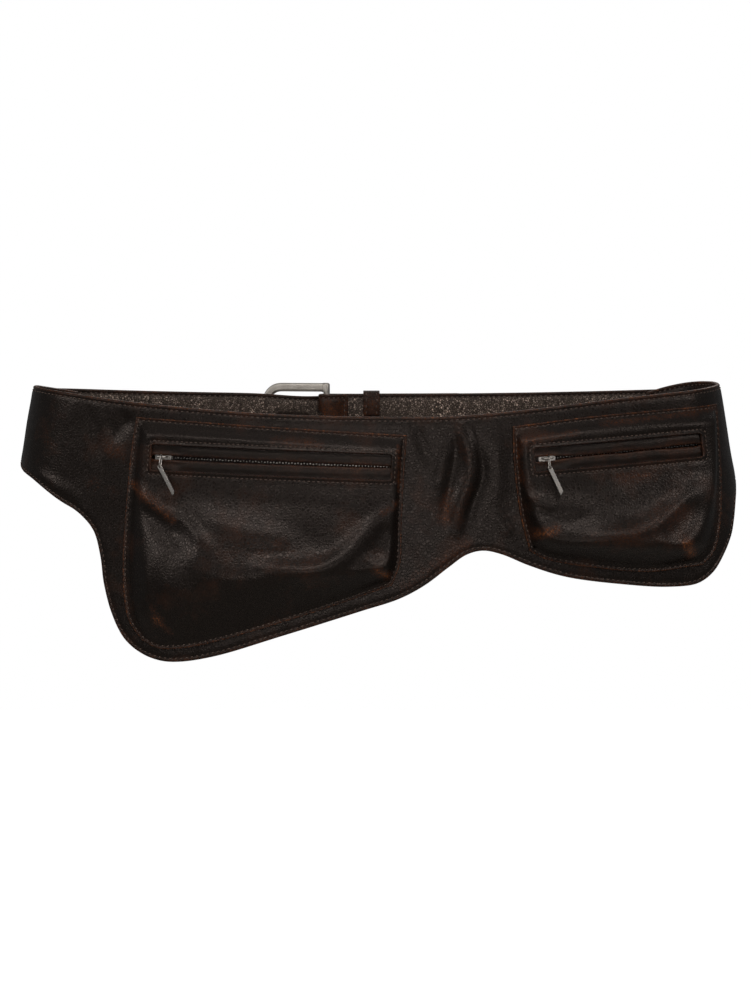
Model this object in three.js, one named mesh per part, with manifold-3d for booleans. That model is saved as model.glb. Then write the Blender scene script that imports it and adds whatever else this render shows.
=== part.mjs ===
// Belt bag: a leather panel worn round the hips, two zipped pockets on its front and a buckled strap behind.
// Millimetres, +Z up, the wearer faces -Y. Z = 0 is the level of the top edge over the hips.

import * as THREE from 'three';
import { mergeVertices } from 'three/addons/utils/BufferGeometryUtils.js';
import Module from 'manifold-3d';

const wasm = await Module();
wasm.setup();

// The loop, in the middle of the leather at Z = 0: a long front and back arc joined by tight ends
const halfWidth = 177;
const halfDepth = 62;
const endRadius = 36;
const flareFront = 0.06; // outward spread for each mm below Z = 0
const flareSide = 0.172;

// Leather
const gap = 0.3; // clearance between pieces that touch
const panelThickness = 2.6;
const panelRows = 8;
const panelStepsPerRib = 2;
const topEdgeSteps = 12; // fine steps for reading the top edge between its rows
const pocketThickness = 1.2;
const weltThickness = 1;
const strapThickness = 2.2;
const strapWidth = 28;
const strapTopMiddle = -8.3; // height of the strap's top edge at the middle of the back
const strapTopRise = 5.9; // how much higher it runs where it meets the panel
const strapRiseReach = 186; // distance from the middle of the back to that place
const sweepStep = 6; // spacing of sections along straps and zips

// Zip, heights above the panel's outer face
const sliderLowerFloor = 0.3;
const sliderPlate = 0.6;
const chainFloor = 1.3;
const chainTop = 2.7;
const chainHalfWidth = 1.5;
const tapeFloor = 1.7;
const tapeTop = 2.3;
const tapeHalfWidth = 6;
const sliderUpperFloor = 3;
const weltFloor = 3.9;
const weltReach = 7.5; // from the teeth to the welt's hidden edge
const weltEndLap = 1.2; // how far welts and tape run on under the window's ends
const lipAtSlider = 1.5; // half the gap between the welts
const lipAtFarEnd = 0.7;
const zipHeight = weltFloor + weltThickness + gap; // swell of the pocket where it lies on the welts

// Slider and puller
const sliderHalfLength = 4.3;
const sliderHalfWidth = 2.7;
const sliderNoseHalfWidth = 1.9;
const sliderShoulder = 1;
const wedgeLength = 0.8;
const wedgeWidth = 2;
const bridgeHeight = 7;
const bridgeRadius = 0.5;
const bridgeHalfLength = 2.85;
const legLength = 0.9;
const legWidth = 1.4;
const ringRadius = 1.5;
const ringReach = 3.2; // between the middles of the ring's two round ends
const ringWire = 0.3;
const ringDrop = 0.4; // the ring hangs this much off the bridge's axis
const bladeThickness = 1;
const bladeHalfWidth = 1;
const eyeOuter = 1.1;
const eyeHole = 0.65;
const pullerLean = THREE.MathUtils.degToRad(16); // the puller lies out over the pocket's swell

// Buckle, placed by distance round the loop
const barAt = 428.3;
const farBarAt = 460.8;
const barHalf = 1.7;
const farBarWidth = 4.2;
const frameThickness = 3;
const frameBevel = 0.6;
const frameRail = 4.6;
const frameSideGap = 1.2; // between the strap's edge and the frame's rail
const frameTiltRoom = 0.5; // the far bar's inner edge dips as the frame tilts
const frameFarCorner = 7.5;
const frameBarCorner = 1.5;
const wrapInner = 2.4; // inner radius of the leather round the bar
const prongRadius = 1.1;
const prongEyeRadius = 3.15;
const prongEyeWire = 0.9;
const prongOver = frameThickness / 2 + gap + prongRadius; // prong axis above the frame's middle plane
const prongRise = { share: 0.5, height: 0.85 }; // place along the frame and share of the full height there
const prongTipReach = 3.4;
const prongTipDrop = 0.4;
const prongSlotAt = 446;
const prongSlotLength = 16;
const prongSlotWidth = 3.2;
const chapeSlotHalf = 5.5;
const chapeSlotWidth = 3.4;
const holeSpacing = 25;
const holeRadius = 1.7;
const holeSteps = [-3, -2, -1, 1, 2]; // strap holes counted from the one in use

// Keeper
const keeperAt = 404.2;
const keeperLength = 8.8;
const keeperThickness = 1.2;
const keeperCorner = 1.5;
const keeperInnerCorner = 0.5;

// Strap ends, as distances round the loop
const tailStart = 588;
const tailTip = 345;
const tailTipLength = 14;
const tailTipBluntness = 0.94; // 1 would round the tip to a point
const buckleStrapStart = 238;

// Top edge of the panel: u is the distance round the loop from the middle of the front,
// + to the wearer's left
const topEdge = [
  { u: -240, z: -5.2 },
  { u: -222, z: -2.3 },
  { u: -206, z: -0.4 },
  { u: -190, z: -0.3 },
  { u: -170, z: -1.2 },
  { u: -135, z: -5.2 },
  { u: -95, z: -8.7 },
  { u: -50, z: -11.4 },
  { u: 10, z: -12.6 },
  { u: 40, z: -12.2 },
  { u: 80, z: -9 },
  { u: 120, z: -4.8 },
  { u: 160, z: -1.4 },
  { u: 185, z: 0.4 },
  { u: 215, z: 1.2 },
  { u: 232, z: 0 },
  { u: 244, z: -2.4 },
  { u: 256, z: -6 },
];

// Sections of the panel: where each starts on the top edge and where it meets the lower edge
const panelRibs = [
  { topU: -240, bottomU: -240, bottomZ: -33.2 },
  { topU: -214, bottomU: -214, bottomZ: -37 },
  { topU: -195, bottomU: -194.7, bottomZ: -42.7 },
  { topU: -179, bottomU: -179, bottomZ: -47.6 },
  { topU: -163, bottomU: -162.6, bottomZ: -57.8 },
  { topU: -152, bottomU: -152.3, bottomZ: -64.1 },
  { topU: -145, bottomU: -145.2, bottomZ: -72 },
  { topU: -140, bottomU: -141.5, bottomZ: -83.6 },
  { topU: -136, bottomU: -139, bottomZ: -98.7 },
  { topU: -131, bottomU: -134.4, bottomZ: -113.8 },
  { topU: -125, bottomU: -127.5, bottomZ: -126.3 },
  { topU: -116, bottomU: -118.2, bottomZ: -133.5 },
  { topU: -106, bottomU: -108.3, bottomZ: -136.8 },
  { topU: -95, bottomU: -98, bottomZ: -137 },
  { topU: -78, bottomU: -80, bottomZ: -133.6 },
  { topU: -45, bottomU: -47.8, bottomZ: -123.3 },
  { topU: -10, bottomU: -8.2, bottomZ: -110.4 },
  { topU: 12, bottomU: 11.5, bottomZ: -103.9 },
  { topU: 24, bottomU: 24, bottomZ: -97.2 },
  { topU: 36, bottomU: 36, bottomZ: -88.2 },
  { topU: 45, bottomU: 45, bottomZ: -82 },
  { topU: 53, bottomU: 53, bottomZ: -80.1 },
  { topU: 62, bottomU: 62, bottomZ: -81.9 },
  { topU: 77, bottomU: 76.5, bottomZ: -88 },
  { topU: 95, bottomU: 95, bottomZ: -94 },
  { topU: 125, bottomU: 125, bottomZ: -98.6 },
  { topU: 150, bottomU: 150, bottomZ: -100.7 },
  { topU: 163, bottomU: 163.1, bottomZ: -99.6 },
  { topU: 171, bottomU: 170.4, bottomZ: -94.4 },
  { topU: 179, bottomU: 177, bottomZ: -85.3 },
  { topU: 187, bottomU: 183, bottomZ: -75 },
  { topU: 195, bottomU: 189, bottomZ: -63.5 },
  { topU: 204, bottomU: 197, bottomZ: -51.5 },
  { topU: 218, bottomU: 214, bottomZ: -41.5 },
  { topU: 236, bottomU: 236, bottomZ: -36.4 },
  { topU: 256, bottomU: 256, bottomZ: -34.6 },
];

// Folds of the panel, each a soft ridge (height above 0) or valley (below 0) from one place to another
const panelFolds = [
  { fromU: 41, fromZ: -18, toU: 47, toZ: -38, width: 4.5, height: 2.6 },
  { fromU: 47, fromZ: -38, toU: 39, toZ: -68, width: 4.5, height: 2.4 },
  { fromU: 51, fromZ: -27, toU: 54, toZ: -44, width: 4, height: -1.8 },
  { fromU: 54, fromZ: -44, toU: 45, toZ: -70, width: 4, height: -1.6 },
  { fromU: 39, fromZ: -26, toU: 35, toZ: -52, width: 3.5, height: -1.4 },
  { fromU: 36, fromZ: -29, toU: 30, toZ: -50, width: 3.5, height: 1.2 },
  { fromU: 59, fromZ: -62, toU: 66, toZ: -71, width: 3.5, height: 1 },
  { fromU: -128, fromZ: -15, toU: -138, toZ: -25, width: 6, height: -1.6 },
  { fromU: -178, fromZ: -41, toU: -154, toZ: -55, width: 3, height: 0.8 },
];

// The two pockets. Edges run left to right and top to bottom on the panel. The profile says, across
// the pocket, how far the bottom fold stands above the lower edge and how deep the pocket is there.
const pockets = [
  {
    side: 'left',
    topEdge: [
      { u: -122.6, z: -13.6 },
      { u: 15.1, z: -21.6 },
    ],
    rightEdge: [
      { u: 15.1, z: -21.6 },
      { u: 13.8, z: -38.5 },
      { u: 12.3, z: -68 },
      { u: 11.5, z: -86 },
      { u: 7.5, z: -97 },
    ],
    bottomEdge: [
      { u: -117.5, z: -126.4 },
      { u: -109.6, z: -130.1 },
      { u: -99.8, z: -130.1 },
      { u: -85.1, z: -127.5 },
      { u: -31.7, z: -110.9 },
      { u: 7.5, z: -97 },
    ],
    leftEdge: [
      { u: -122.6, z: -13.6 },
      { u: -125.2, z: -32.9 },
      { u: -128.3, z: -82 },
      { u: -127.5, z: -103 },
      { u: -124.5, z: -117 },
      { u: -117.5, z: -126.4 },
    ],
    leftFlange: 3.5,
    leftSlope: 1,
    rightFlange: 2,
    rightSlope: 2.2,
    profile: [
      { across: 0, foldReach: 15, depth: 16 },
      { across: 0.3, foldReach: 24, depth: 19 },
      { across: 0.6, foldReach: 19, depth: 17 },
      { across: 1, foldReach: 9, depth: 11 },
    ],
    folds: [
      { fromU: 6, fromZ: -58, toU: -25, toZ: -83, width: 5, height: 1.5 },
      { fromU: -122, fromZ: -49, toU: -108, toZ: -59, width: 4, height: 1.4 },
      { fromU: -118, fromZ: -58, toU: -104, toZ: -70, width: 4.5, height: -1.5 },
    ],
    zip: { u: -107.2, z: -33.5, tilt: -1.95, start: -5.3, end: 114.2, windowHalf: 6.3 },
    bladeLength: 17,
    bladeTilt: 34,
  },
  {
    side: 'right',
    topEdge: [
      { u: 68.4, z: -17.5 },
      { u: 107, z: -13.3 },
      { u: 138.4, z: -10.9 },
      { u: 181, z: -8.5 },
    ],
    rightEdge: [
      { u: 181, z: -8.5 },
      { u: 178.5, z: -43.8 },
      { u: 174.8, z: -69.6 },
      { u: 170.5, z: -83.5 },
      { u: 165, z: -89.9 },
    ],
    bottomEdge: [
      { u: 76.3, z: -80.3 },
      { u: 83.4, z: -84.3 },
      { u: 109.5, z: -89.5 },
      { u: 140, z: -92.4 },
      { u: 165, z: -89.9 },
    ],
    leftEdge: [
      { u: 68.4, z: -17.5 },
      { u: 68.6, z: -33.8 },
      { u: 71.7, z: -61.8 },
      { u: 76.3, z: -80.3 },
    ],
    leftFlange: 2,
    leftSlope: 2,
    rightFlange: 3.5,
    rightSlope: 1.1,
    profile: [
      { across: 0, foldReach: 9, depth: 11 },
      { across: 0.35, foldReach: 13, depth: 14 },
      { across: 0.65, foldReach: 15, depth: 15 },
      { across: 1, foldReach: 9, depth: 13 },
    ],
    folds: [
      { fromU: 104, fromZ: -73, toU: 133, toZ: -68, width: 5, height: 1.4 },
      { fromU: 133, fromZ: -68, toU: 160, toZ: -51, width: 5, height: 1.4 },
      { fromU: 74, fromZ: -52, toU: 84, toZ: -57.5, width: 4, height: 1.1 },
    ],
    zip: { u: 85, z: -33.76, tilt: 3.88, start: -6.8, end: 79.6, windowHalf: 5.8 },
    bladeLength: 15,
    bladeTilt: 17,
  },
];
const pocketTopFlange = 3;
const pocketTopRise = 7.5; // distance below the top edge where the leather has reached the zip's height
const pocketZipLow = 27; // distance below the top edge where the swell starts
const pocketSwell = 1.5; // roundness of the swell between the zip and the fold
const pocketBottomFlange = 3;
const pocketFoldFade = 10; // length over which the folds fade in below the zip
const pocketColumnStep = 9;
const pocketSwellRows = 5;
const pocketUnderRows = 3;
const pocketShoulder = 1.4; // grid line on the side slopes, in heights of the zip
const creaseSharpness = 8; // higher gives crisper creases at the fold and the corner darts

// Facets
const weldTolerance = 1e-4;
const roundSides = 10; // round bars and punched holes
const wireSides = 6;
const wireSteps = 16; // round the prong's eye
const ringSteps = 24; // round the puller's ring
const cornerSteps = 4; // a quarter turn of a rounded corner
const prongSteps = 10;
const wrapTurns = [30, 60, 90, 120, 150, 180]; // degrees round the buckle's bar
const cutterReach = 10.5; // how far a slot's cutter reaches to either side of the strap

// Strap routes as offsets from the strap's own layer, outward +
const tailRoute = [
  { u: tailTip, out: 2.5 },
  { u: 435, out: 2.5 },
  { u: 440, out: 2.2 },
  { u: 446, out: 1.1 },
  { u: 451, out: 0.2 },
  { u: 454, out: 0 },
  { u: tailStart, out: 0 },
];
const returnRoute = [
  { back: 3.5, out: -6.5 },
  { back: 6.5, out: -4.4 },
  { back: 9, out: -2.8 },
  { back: 11.5, out: -2.5 },
];

// Derived sizes
const frontRadius =
  ((halfWidth - endRadius) ** 2 + halfDepth ** 2 - endRadius ** 2) / (2 * (halfDepth - endRadius));
const frontAngle = Math.atan2(halfWidth - endRadius, frontRadius - halfDepth);
const frontHalfLength = frontRadius * frontAngle;
const endLength = endRadius * (Math.PI - 2 * frontAngle);
const loopLength = 4 * frontHalfLength + 2 * endLength;
const panelFace = panelThickness / 2;
const strapLayer = panelFace + gap + strapThickness / 2;
const tailOut = tailRoute[0].out;
const wrapRadius = wrapInner + strapThickness / 2;

const leather = new THREE.MeshStandardMaterial({ color: '#2a211d', roughness: 0.5, flatShading: true });
const weltLeather = new THREE.MeshStandardMaterial({ color: '#1d1714', roughness: 0.55, flatShading: true });
const zipTape = new THREE.MeshStandardMaterial({ color: '#17120f', roughness: 0.7, flatShading: true });
const nickel = new THREE.MeshStandardMaterial({
  color: '#c9c7c2',
  roughness: 0.3,
  metalness: 1,
  flatShading: true,
});
const antiqueSteel = new THREE.MeshStandardMaterial({
  color: '#8f8a83',
  roughness: 0.45,
  metalness: 1,
  flatShading: true,
});

// The place on the loop at distance u round it, height z and distance n outward from the leather's middle
function onLoop(u, z, n) {
  const turns = Math.round(u / loopLength);
  const wrapped = u - turns * loopLength;
  const distance = Math.abs(wrapped);
  let angle = distance / frontRadius;
  let radius = frontRadius;
  let centreX = 0;
  let centreY = frontRadius - halfDepth;
  if (distance > frontHalfLength + endLength) {
    angle = Math.PI - frontAngle + (distance - frontHalfLength - endLength) / frontRadius;
    centreY = halfDepth - frontRadius;
  } else if (distance > frontHalfLength) {
    angle = frontAngle + (distance - frontHalfLength) / endRadius;
    radius = endRadius;
    centreX = halfWidth - endRadius;
    centreY = 0;
  }
  const facing = Math.max(Math.cos(angle), 0);
  const flare = flareSide * Math.sin(angle) ** 2 + flareFront * facing ** 2;
  const reach = radius - flare * z + n;
  const x = centreX + Math.sin(angle) * reach;
  return new THREE.Vector3(wrapped < 0 ? -x : x, centreY - Math.cos(angle) * reach, z);
}

// A frame on the loop: x along it, y up and z outward
function loopFrame(u, z, n, tilt = 0) {
  const along = onLoop(u + 1, z, n).sub(onLoop(u - 1, z, n));
  const up = onLoop(u, z + 1, n).sub(onLoop(u, z - 1, n));
  const out = new THREE.Vector3().crossVectors(along, up).normalize();
  along.normalize().applyAxisAngle(out, THREE.MathUtils.degToRad(tilt));
  up.crossVectors(out, along);
  return new THREE.Matrix4().makeBasis(along, up, out).setPosition(onLoop(u, z, n));
}

function flatCurve(rows) {
  return new THREE.CatmullRomCurve3(rows.map((row) => new THREE.Vector3(row.u, row.z, 0)));
}

// A straight-line reading of a table: the value of one column at a place on another
function readTable(rows, key, value, at) {
  const last = rows.length - 1;
  let index = 0;
  while (index < last - 1 && rows[index + 1][key] < at) {
    index += 1;
  }
  const low = rows[index];
  const high = rows[index + 1];
  const share = THREE.MathUtils.clamp((at - low[key]) / (high[key] - low[key]), 0, 1);
  return THREE.MathUtils.lerp(low[value], high[value], share);
}

function foldHeight(folds, u, z) {
  let ridge = 0;
  let valley = 0;
  for (const fold of folds) {
    const runU = fold.toU - fold.fromU;
    const runZ = fold.toZ - fold.fromZ;
    const along = ((u - fold.fromU) * runU + (z - fold.fromZ) * runZ) / (runU * runU + runZ * runZ);
    const share = THREE.MathUtils.clamp(along, 0, 1);
    const away = Math.hypot(u - fold.fromU - share * runU, z - fold.fromZ - share * runZ);
    const height = fold.height * Math.exp(-((away / fold.width) ** 2));
    ridge = Math.max(ridge, height);
    valley = Math.min(valley, height);
  }
  return ridge + valley;
}

function meshFrom(points, triangles) {
  let volume = 0;
  for (let i = 0; i < triangles.length; i += 3) {
    const [a, b, c] = triangles.slice(i, i + 3).map((index) => points[index]);
    volume += a.dot(new THREE.Vector3().crossVectors(b, c));
  }
  const facing = volume > 0 ? triangles : triangles.slice().reverse();
  const geometry = new THREE.BufferGeometry().setFromPoints(points);
  geometry.setIndex(facing);
  return geometry;
}

// A closed wall from two grids of points, its outer and its inner face
function wallFromGrids(outer, inner) {
  const rows = outer.length;
  const columns = outer[0].length;
  const points = [...outer.flat(), ...inner.flat()];
  const at = (row, column) => row * columns + column;
  const innerStart = rows * columns;
  const triangles = [];
  for (let row = 0; row < rows - 1; row += 1) {
    for (let column = 0; column < columns - 1; column += 1) {
      const a = at(row, column);
      const b = at(row, column + 1);
      const c = at(row + 1, column);
      const d = at(row + 1, column + 1);
      triangles.push(a, c, b, b, c, d);
      triangles.push(...[a, b, c, b, d, c].map((index) => index + innerStart));
    }
  }
  const rim = [];
  for (let column = 0; column < columns - 1; column += 1) {
    rim.push(at(0, column));
  }
  for (let row = 0; row < rows - 1; row += 1) {
    rim.push(at(row, columns - 1));
  }
  for (let column = columns - 1; column > 0; column -= 1) {
    rim.push(at(rows - 1, column));
  }
  for (let row = rows - 1; row > 0; row -= 1) {
    rim.push(at(row, 0));
  }
  rim.forEach((here, index) => {
    const next = rim[(index + 1) % rim.length];
    triangles.push(here, next, next + innerStart, here, next + innerStart, here + innerStart);
  });
  return meshFrom(points, triangles);
}

// A closed solid through a row of like sections; flat is the section's own outline, for the two ends
function sweepSections(sections, flat) {
  const count = flat.length;
  const points = sections.flat();
  const triangles = [];
  for (let station = 0; station < sections.length - 1; station += 1) {
    for (let corner = 0; corner < count; corner += 1) {
      const next = (corner + 1) % count;
      const a = station * count + corner;
      const b = station * count + next;
      triangles.push(a, b, a + count, b, b + count, a + count);
    }
  }
  const lastStart = (sections.length - 1) * count;
  const clockwise = THREE.ShapeUtils.isClockWise(flat);
  for (const [a, b, c] of THREE.ShapeUtils.triangulateShape(flat, [])) {
    const start = clockwise ? [a, b, c] : [a, c, b];
    const end = clockwise ? [a, c, b] : [a, b, c];
    triangles.push(...start, ...end.map((index) => index + lastStart));
  }
  return meshFrom(points, triangles);
}

function weld(geometry) {
  geometry.deleteAttribute('normal');
  geometry.deleteAttribute('uv');
  return mergeVertices(geometry, weldTolerance);
}

function toManifold(geometry) {
  const vertProperties = new Float32Array(geometry.attributes.position.array);
  const triVerts = new Uint32Array(geometry.index.array);
  return new wasm.Manifold(new wasm.Mesh({ numProp: 3, vertProperties, triVerts }));
}

function fromManifold(manifold) {
  const mesh = manifold.getMesh();
  const geometry = new THREE.BufferGeometry();
  geometry.setAttribute('position', new THREE.BufferAttribute(new Float32Array(mesh.vertProperties), 3));
  geometry.setIndex(new THREE.BufferAttribute(new Uint32Array(mesh.triVerts), 1));
  return geometry;
}

function cutFrom(geometry, cutters) {
  const solid = cutters.reduce((whole, cutter) => whole.subtract(toManifold(cutter)), toManifold(geometry));
  return fromManifold(solid);
}

function joinAll(geometries) {
  const [first, ...others] = geometries.map(toManifold);
  return fromManifold(others.reduce((whole, other) => whole.add(other), first));
}

function splitEvenly(from, to, count) {
  return Array.from({ length: count + 1 }, (_, index) => from + ((to - from) * index) / count);
}

function spacedStops(from, to, step) {
  return splitEvenly(from, to, Math.max(1, Math.ceil(Math.abs(to - from) / step)));
}

function boxBetween(low, high) {
  const size = high.map((value, axis) => value - low[axis]);
  const box = new THREE.BoxGeometry(...size);
  box.translate(...low.map((value, axis) => value + size[axis] / 2));
  return weld(box);
}

function roundedOutline(path, low, high, lowCorner, highCorner) {
  const [x0, y0] = low;
  const [x1, y1] = high;
  path.moveTo(x0 + lowCorner, y0);
  path.lineTo(x1 - highCorner, y0);
  path.absarc(x1 - highCorner, y0 + highCorner, highCorner, -Math.PI / 2, 0, false);
  path.absarc(x1 - highCorner, y1 - highCorner, highCorner, 0, Math.PI / 2, false);
  path.absarc(x0 + lowCorner, y1 - lowCorner, lowCorner, Math.PI / 2, Math.PI, false);
  path.absarc(x0 + lowCorner, y0 + lowCorner, lowCorner, Math.PI, 1.5 * Math.PI, false);
  return path;
}

// Panel
function buildPanel() {
  const top = flatCurve(topEdge);
  const topStops = top.getPoints(topEdge.length * topEdgeSteps);
  const topRows = topStops.map((point) => ({ u: point.x, z: point.y }));
  const lower = new THREE.CatmullRomCurve3(
    panelRibs.map((rib) => new THREE.Vector3(rib.bottomU, rib.bottomZ, rib.topU)),
  );
  const ribs = lower.getPoints((panelRibs.length - 1) * panelStepsPerRib);
  const outer = [];
  const inner = [];
  for (let row = 0; row <= panelRows; row += 1) {
    const share = row / panelRows;
    const places = ribs.map((rib) => ({
      u: THREE.MathUtils.lerp(rib.z, rib.x, share),
      z: THREE.MathUtils.lerp(readTable(topRows, 'u', 'z', rib.z), rib.y, share),
    }));
    const lifted = places.map((place) => ({ ...place, n: foldHeight(panelFolds, place.u, place.z) }));
    outer.push(lifted.map((place) => onLoop(place.u, place.z, place.n + panelFace)));
    inner.push(lifted.map((place) => onLoop(place.u, place.z, place.n - panelFace)));
  }
  return wallFromGrids(outer, inner);
}

// Pocket: a skin over a patch of the panel, flat at its sewn edges and swelling to a fold
// above its lower edge
function pocketPlaces(pocket) {
  const edges = [pocket.topEdge, pocket.bottomEdge, pocket.leftEdge, pocket.rightEdge].map(flatCurve);
  const [top, bottom, left, right] = edges;
  const pointOn = (curve, share) => curve.getPointAt(share);
  return (across, down) => {
    const place = pointOn(top, across).multiplyScalar(1 - down);
    place.addScaledVector(pointOn(bottom, across), down);
    place.addScaledVector(pointOn(left, down), 1 - across);
    place.addScaledVector(pointOn(right, down), across);
    place.addScaledVector(pointOn(top, 0), -(1 - across) * (1 - down));
    place.addScaledVector(pointOn(top, 1), -across * (1 - down));
    place.addScaledVector(pointOn(bottom, 0), -(1 - across) * down);
    place.addScaledVector(pointOn(bottom, 1), -across * down);
    return place;
  };
}

function pocketSwellAt(pocket, placeAt, across, down) {
  const place = placeAt(across, down);
  const fromTop = place.distanceTo(placeAt(across, 0));
  const fromBottom = place.distanceTo(placeAt(across, 1));
  const fromLeft = place.distanceTo(placeAt(0, down));
  const fromRight = place.distanceTo(placeAt(1, down));
  const reach = readTable(pocket.profile, 'across', 'foldReach', across);
  const depth = readTable(pocket.profile, 'across', 'depth', across);
  const foldDistance = fromTop + fromBottom - reach;
  const rise = THREE.MathUtils.smoothstep(fromTop, pocketTopFlange, pocketTopRise);
  const low = THREE.MathUtils.clamp((fromTop - pocketZipLow) / (foldDistance - pocketZipLow), 0, 1);
  const face = zipHeight * rise + (depth - zipHeight) * (1 - (1 - low) ** pocketSwell);
  const slopes = [
    face,
    (depth * (fromBottom - pocketBottomFlange)) / (reach - pocketBottomFlange),
    pocket.leftSlope * (fromLeft - pocket.leftFlange),
    pocket.rightSlope * (fromRight - pocket.rightFlange),
  ];
  const lowest = Math.min(...slopes);
  if (lowest <= 0) {
    return 0;
  }
  const blended = slopes.reduce((sum, slope) => sum + (slope / lowest) ** -creaseSharpness, 0);
  const swell = lowest * blended ** (-1 / creaseSharpness);
  const belowZip = THREE.MathUtils.smoothstep(fromTop, pocketZipLow, pocketZipLow + pocketFoldFade);
  const loose = belowZip * Math.min(1, swell / depth);
  return swell + loose * foldHeight(pocket.folds, place.x, place.y);
}

// Grid lines of a pocket as distances from one side, close together where the leather rises
function sideStops(flange, slope, depth) {
  const climbs = [0, zipHeight / 2, zipHeight * pocketShoulder, depth];
  return [0, ...climbs.map((climb) => flange + climb / slope)];
}

function columnShares(pocket, width) {
  const first = pocket.profile[0];
  const last = pocket.profile[pocket.profile.length - 1];
  const left = sideStops(pocket.leftFlange, pocket.leftSlope, first.depth);
  const right = sideStops(pocket.rightFlange, pocket.rightSlope, last.depth).map((stop) => width - stop);
  const middle = spacedStops(left[left.length - 1], right[right.length - 1], pocketColumnStep).slice(1, -1);
  return [...left, ...middle, ...right.reverse()].map((stop) => stop / width);
}

function rowShares(pocket, placeAt, across) {
  const length = placeAt(across, 0).distanceTo(placeAt(across, 1));
  const fold = length - readTable(pocket.profile, 'across', 'foldReach', across);
  const rise = [0, pocketTopFlange, (pocketTopFlange + pocketTopRise) / 2, pocketTopRise];
  const swell = splitEvenly(pocketZipLow, fold, pocketSwellRows);
  const under = splitEvenly(fold, length - pocketBottomFlange, pocketUnderRows).slice(1);
  return [...rise, ...swell, ...under, length].map((stop) => stop / length);
}

function buildPocket(pocket) {
  const placeAt = pocketPlaces(pocket);
  const columns = columnShares(pocket, placeAt(0, 0.5).distanceTo(placeAt(1, 0.5)));
  const rowsByColumn = columns.map((across) => rowShares(pocket, placeAt, across));
  const outer = rowsByColumn[0].map((_, row) =>
    columns.map((across, column) => {
      const down = rowsByColumn[column][row];
      const place = placeAt(across, down);
      const swell = pocketSwellAt(pocket, placeAt, across, down);
      return onLoop(place.x, place.y, panelFace + gap + pocketThickness + swell);
    }),
  );
  const pick = (row, column) => {
    const points = outer[THREE.MathUtils.clamp(row, 0, outer.length - 1)];
    return points[THREE.MathUtils.clamp(column, 0, points.length - 1)];
  };
  const inner = outer.map((points, row) =>
    points.map((point, column) => {
      const along = pick(row, column + 1).clone().sub(pick(row, column - 1));
      const down = pick(row + 1, column).clone().sub(pick(row - 1, column));
      const out = new THREE.Vector3().crossVectors(down, along).normalize();
      return point.clone().addScaledVector(out, -pocketThickness);
    }),
  );
  const windowCutter = sweepOnZip(pocket.zip, pocket.zip.start, pocket.zip.end, () => [
    [-pocket.zip.windowHalf, weltFloor],
    [pocket.zip.windowHalf, weltFloor],
    [pocket.zip.windowHalf, 2 * zipHeight],
    [-pocket.zip.windowHalf, 2 * zipHeight],
  ]);
  return cutFrom(wallFromGrids(outer, inner), [windowCutter]);
}

// Zip pieces run along the zip's own line: a along it from the slider, b up across it, n above the panel
function sweepOnZip(zip, from, to, outlineAt) {
  const turn = THREE.MathUtils.degToRad(zip.tilt);
  const cos = Math.cos(turn);
  const sin = Math.sin(turn);
  const sections = spacedStops(from, to, sweepStep).map((a) =>
    outlineAt(a).map(([b, n]) => onLoop(zip.u + a * cos - b * sin, zip.z + a * sin + b * cos, panelFace + n)),
  );
  const flat = outlineAt(from).map(([b, n]) => new THREE.Vector2(b, n));
  return sweepSections(sections, flat);
}

function buildWelt(zip, side) {
  const from = zip.start - weltEndLap;
  const to = zip.end + weltEndLap;
  return sweepOnZip(zip, from, to, (a) => {
    const lip = THREE.MathUtils.lerp(lipAtSlider, lipAtFarEnd, (a - from) / (to - from));
    return [
      [side * lip, weltFloor],
      [side * weltReach, weltFloor],
      [side * weltReach, weltFloor + weltThickness],
      [side * lip, weltFloor + weltThickness],
    ];
  });
}

function buildZipChain(zip) {
  const from = wedgeLength + gap - sliderHalfLength;
  return sweepOnZip(zip, from, zip.end + weltEndLap, () => [
    [-tapeHalfWidth, tapeFloor],
    [-chainHalfWidth, tapeFloor],
    [-chainHalfWidth, chainFloor],
    [chainHalfWidth, chainFloor],
    [chainHalfWidth, tapeFloor],
    [tapeHalfWidth, tapeFloor],
    [tapeHalfWidth, tapeTop],
    [chainHalfWidth, tapeTop],
    [chainHalfWidth, chainTop],
    [-chainHalfWidth, chainTop],
    [-chainHalfWidth, tapeTop],
    [-tapeHalfWidth, tapeTop],
  ]);
}

function buildSlider() {
  const outline = new THREE.Shape([
    new THREE.Vector2(-sliderHalfLength, -sliderHalfWidth),
    new THREE.Vector2(sliderShoulder, -sliderHalfWidth),
    new THREE.Vector2(sliderHalfLength, -sliderNoseHalfWidth),
    new THREE.Vector2(sliderHalfLength, sliderNoseHalfWidth),
    new THREE.Vector2(sliderShoulder, sliderHalfWidth),
    new THREE.Vector2(-sliderHalfLength, sliderHalfWidth),
  ]);
  const plates = [sliderLowerFloor, sliderUpperFloor].map((floor) => {
    const plate = new THREE.ExtrudeGeometry(outline, { depth: sliderPlate, bevelEnabled: false });
    return weld(plate.translate(0, 0, floor));
  });
  const wedge = boxBetween(
    [-sliderHalfLength, -wedgeWidth / 2, sliderLowerFloor],
    [wedgeLength - sliderHalfLength, wedgeWidth / 2, sliderUpperFloor + sliderPlate / 2],
  );
  const legs = [-bridgeHalfLength, bridgeHalfLength - legLength].map((start) =>
    boxBetween(
      [start, -legWidth / 2, sliderUpperFloor + sliderPlate / 2],
      [start + legLength, legWidth / 2, bridgeHeight],
    ),
  );
  const bridge = new THREE.CylinderGeometry(bridgeRadius, bridgeRadius, 2 * bridgeHalfLength, roundSides);
  bridge.rotateZ(Math.PI / 2).translate(0, 0, bridgeHeight);
  return joinAll([...plates, wedge, ...legs, weld(bridge)]);
}

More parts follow.
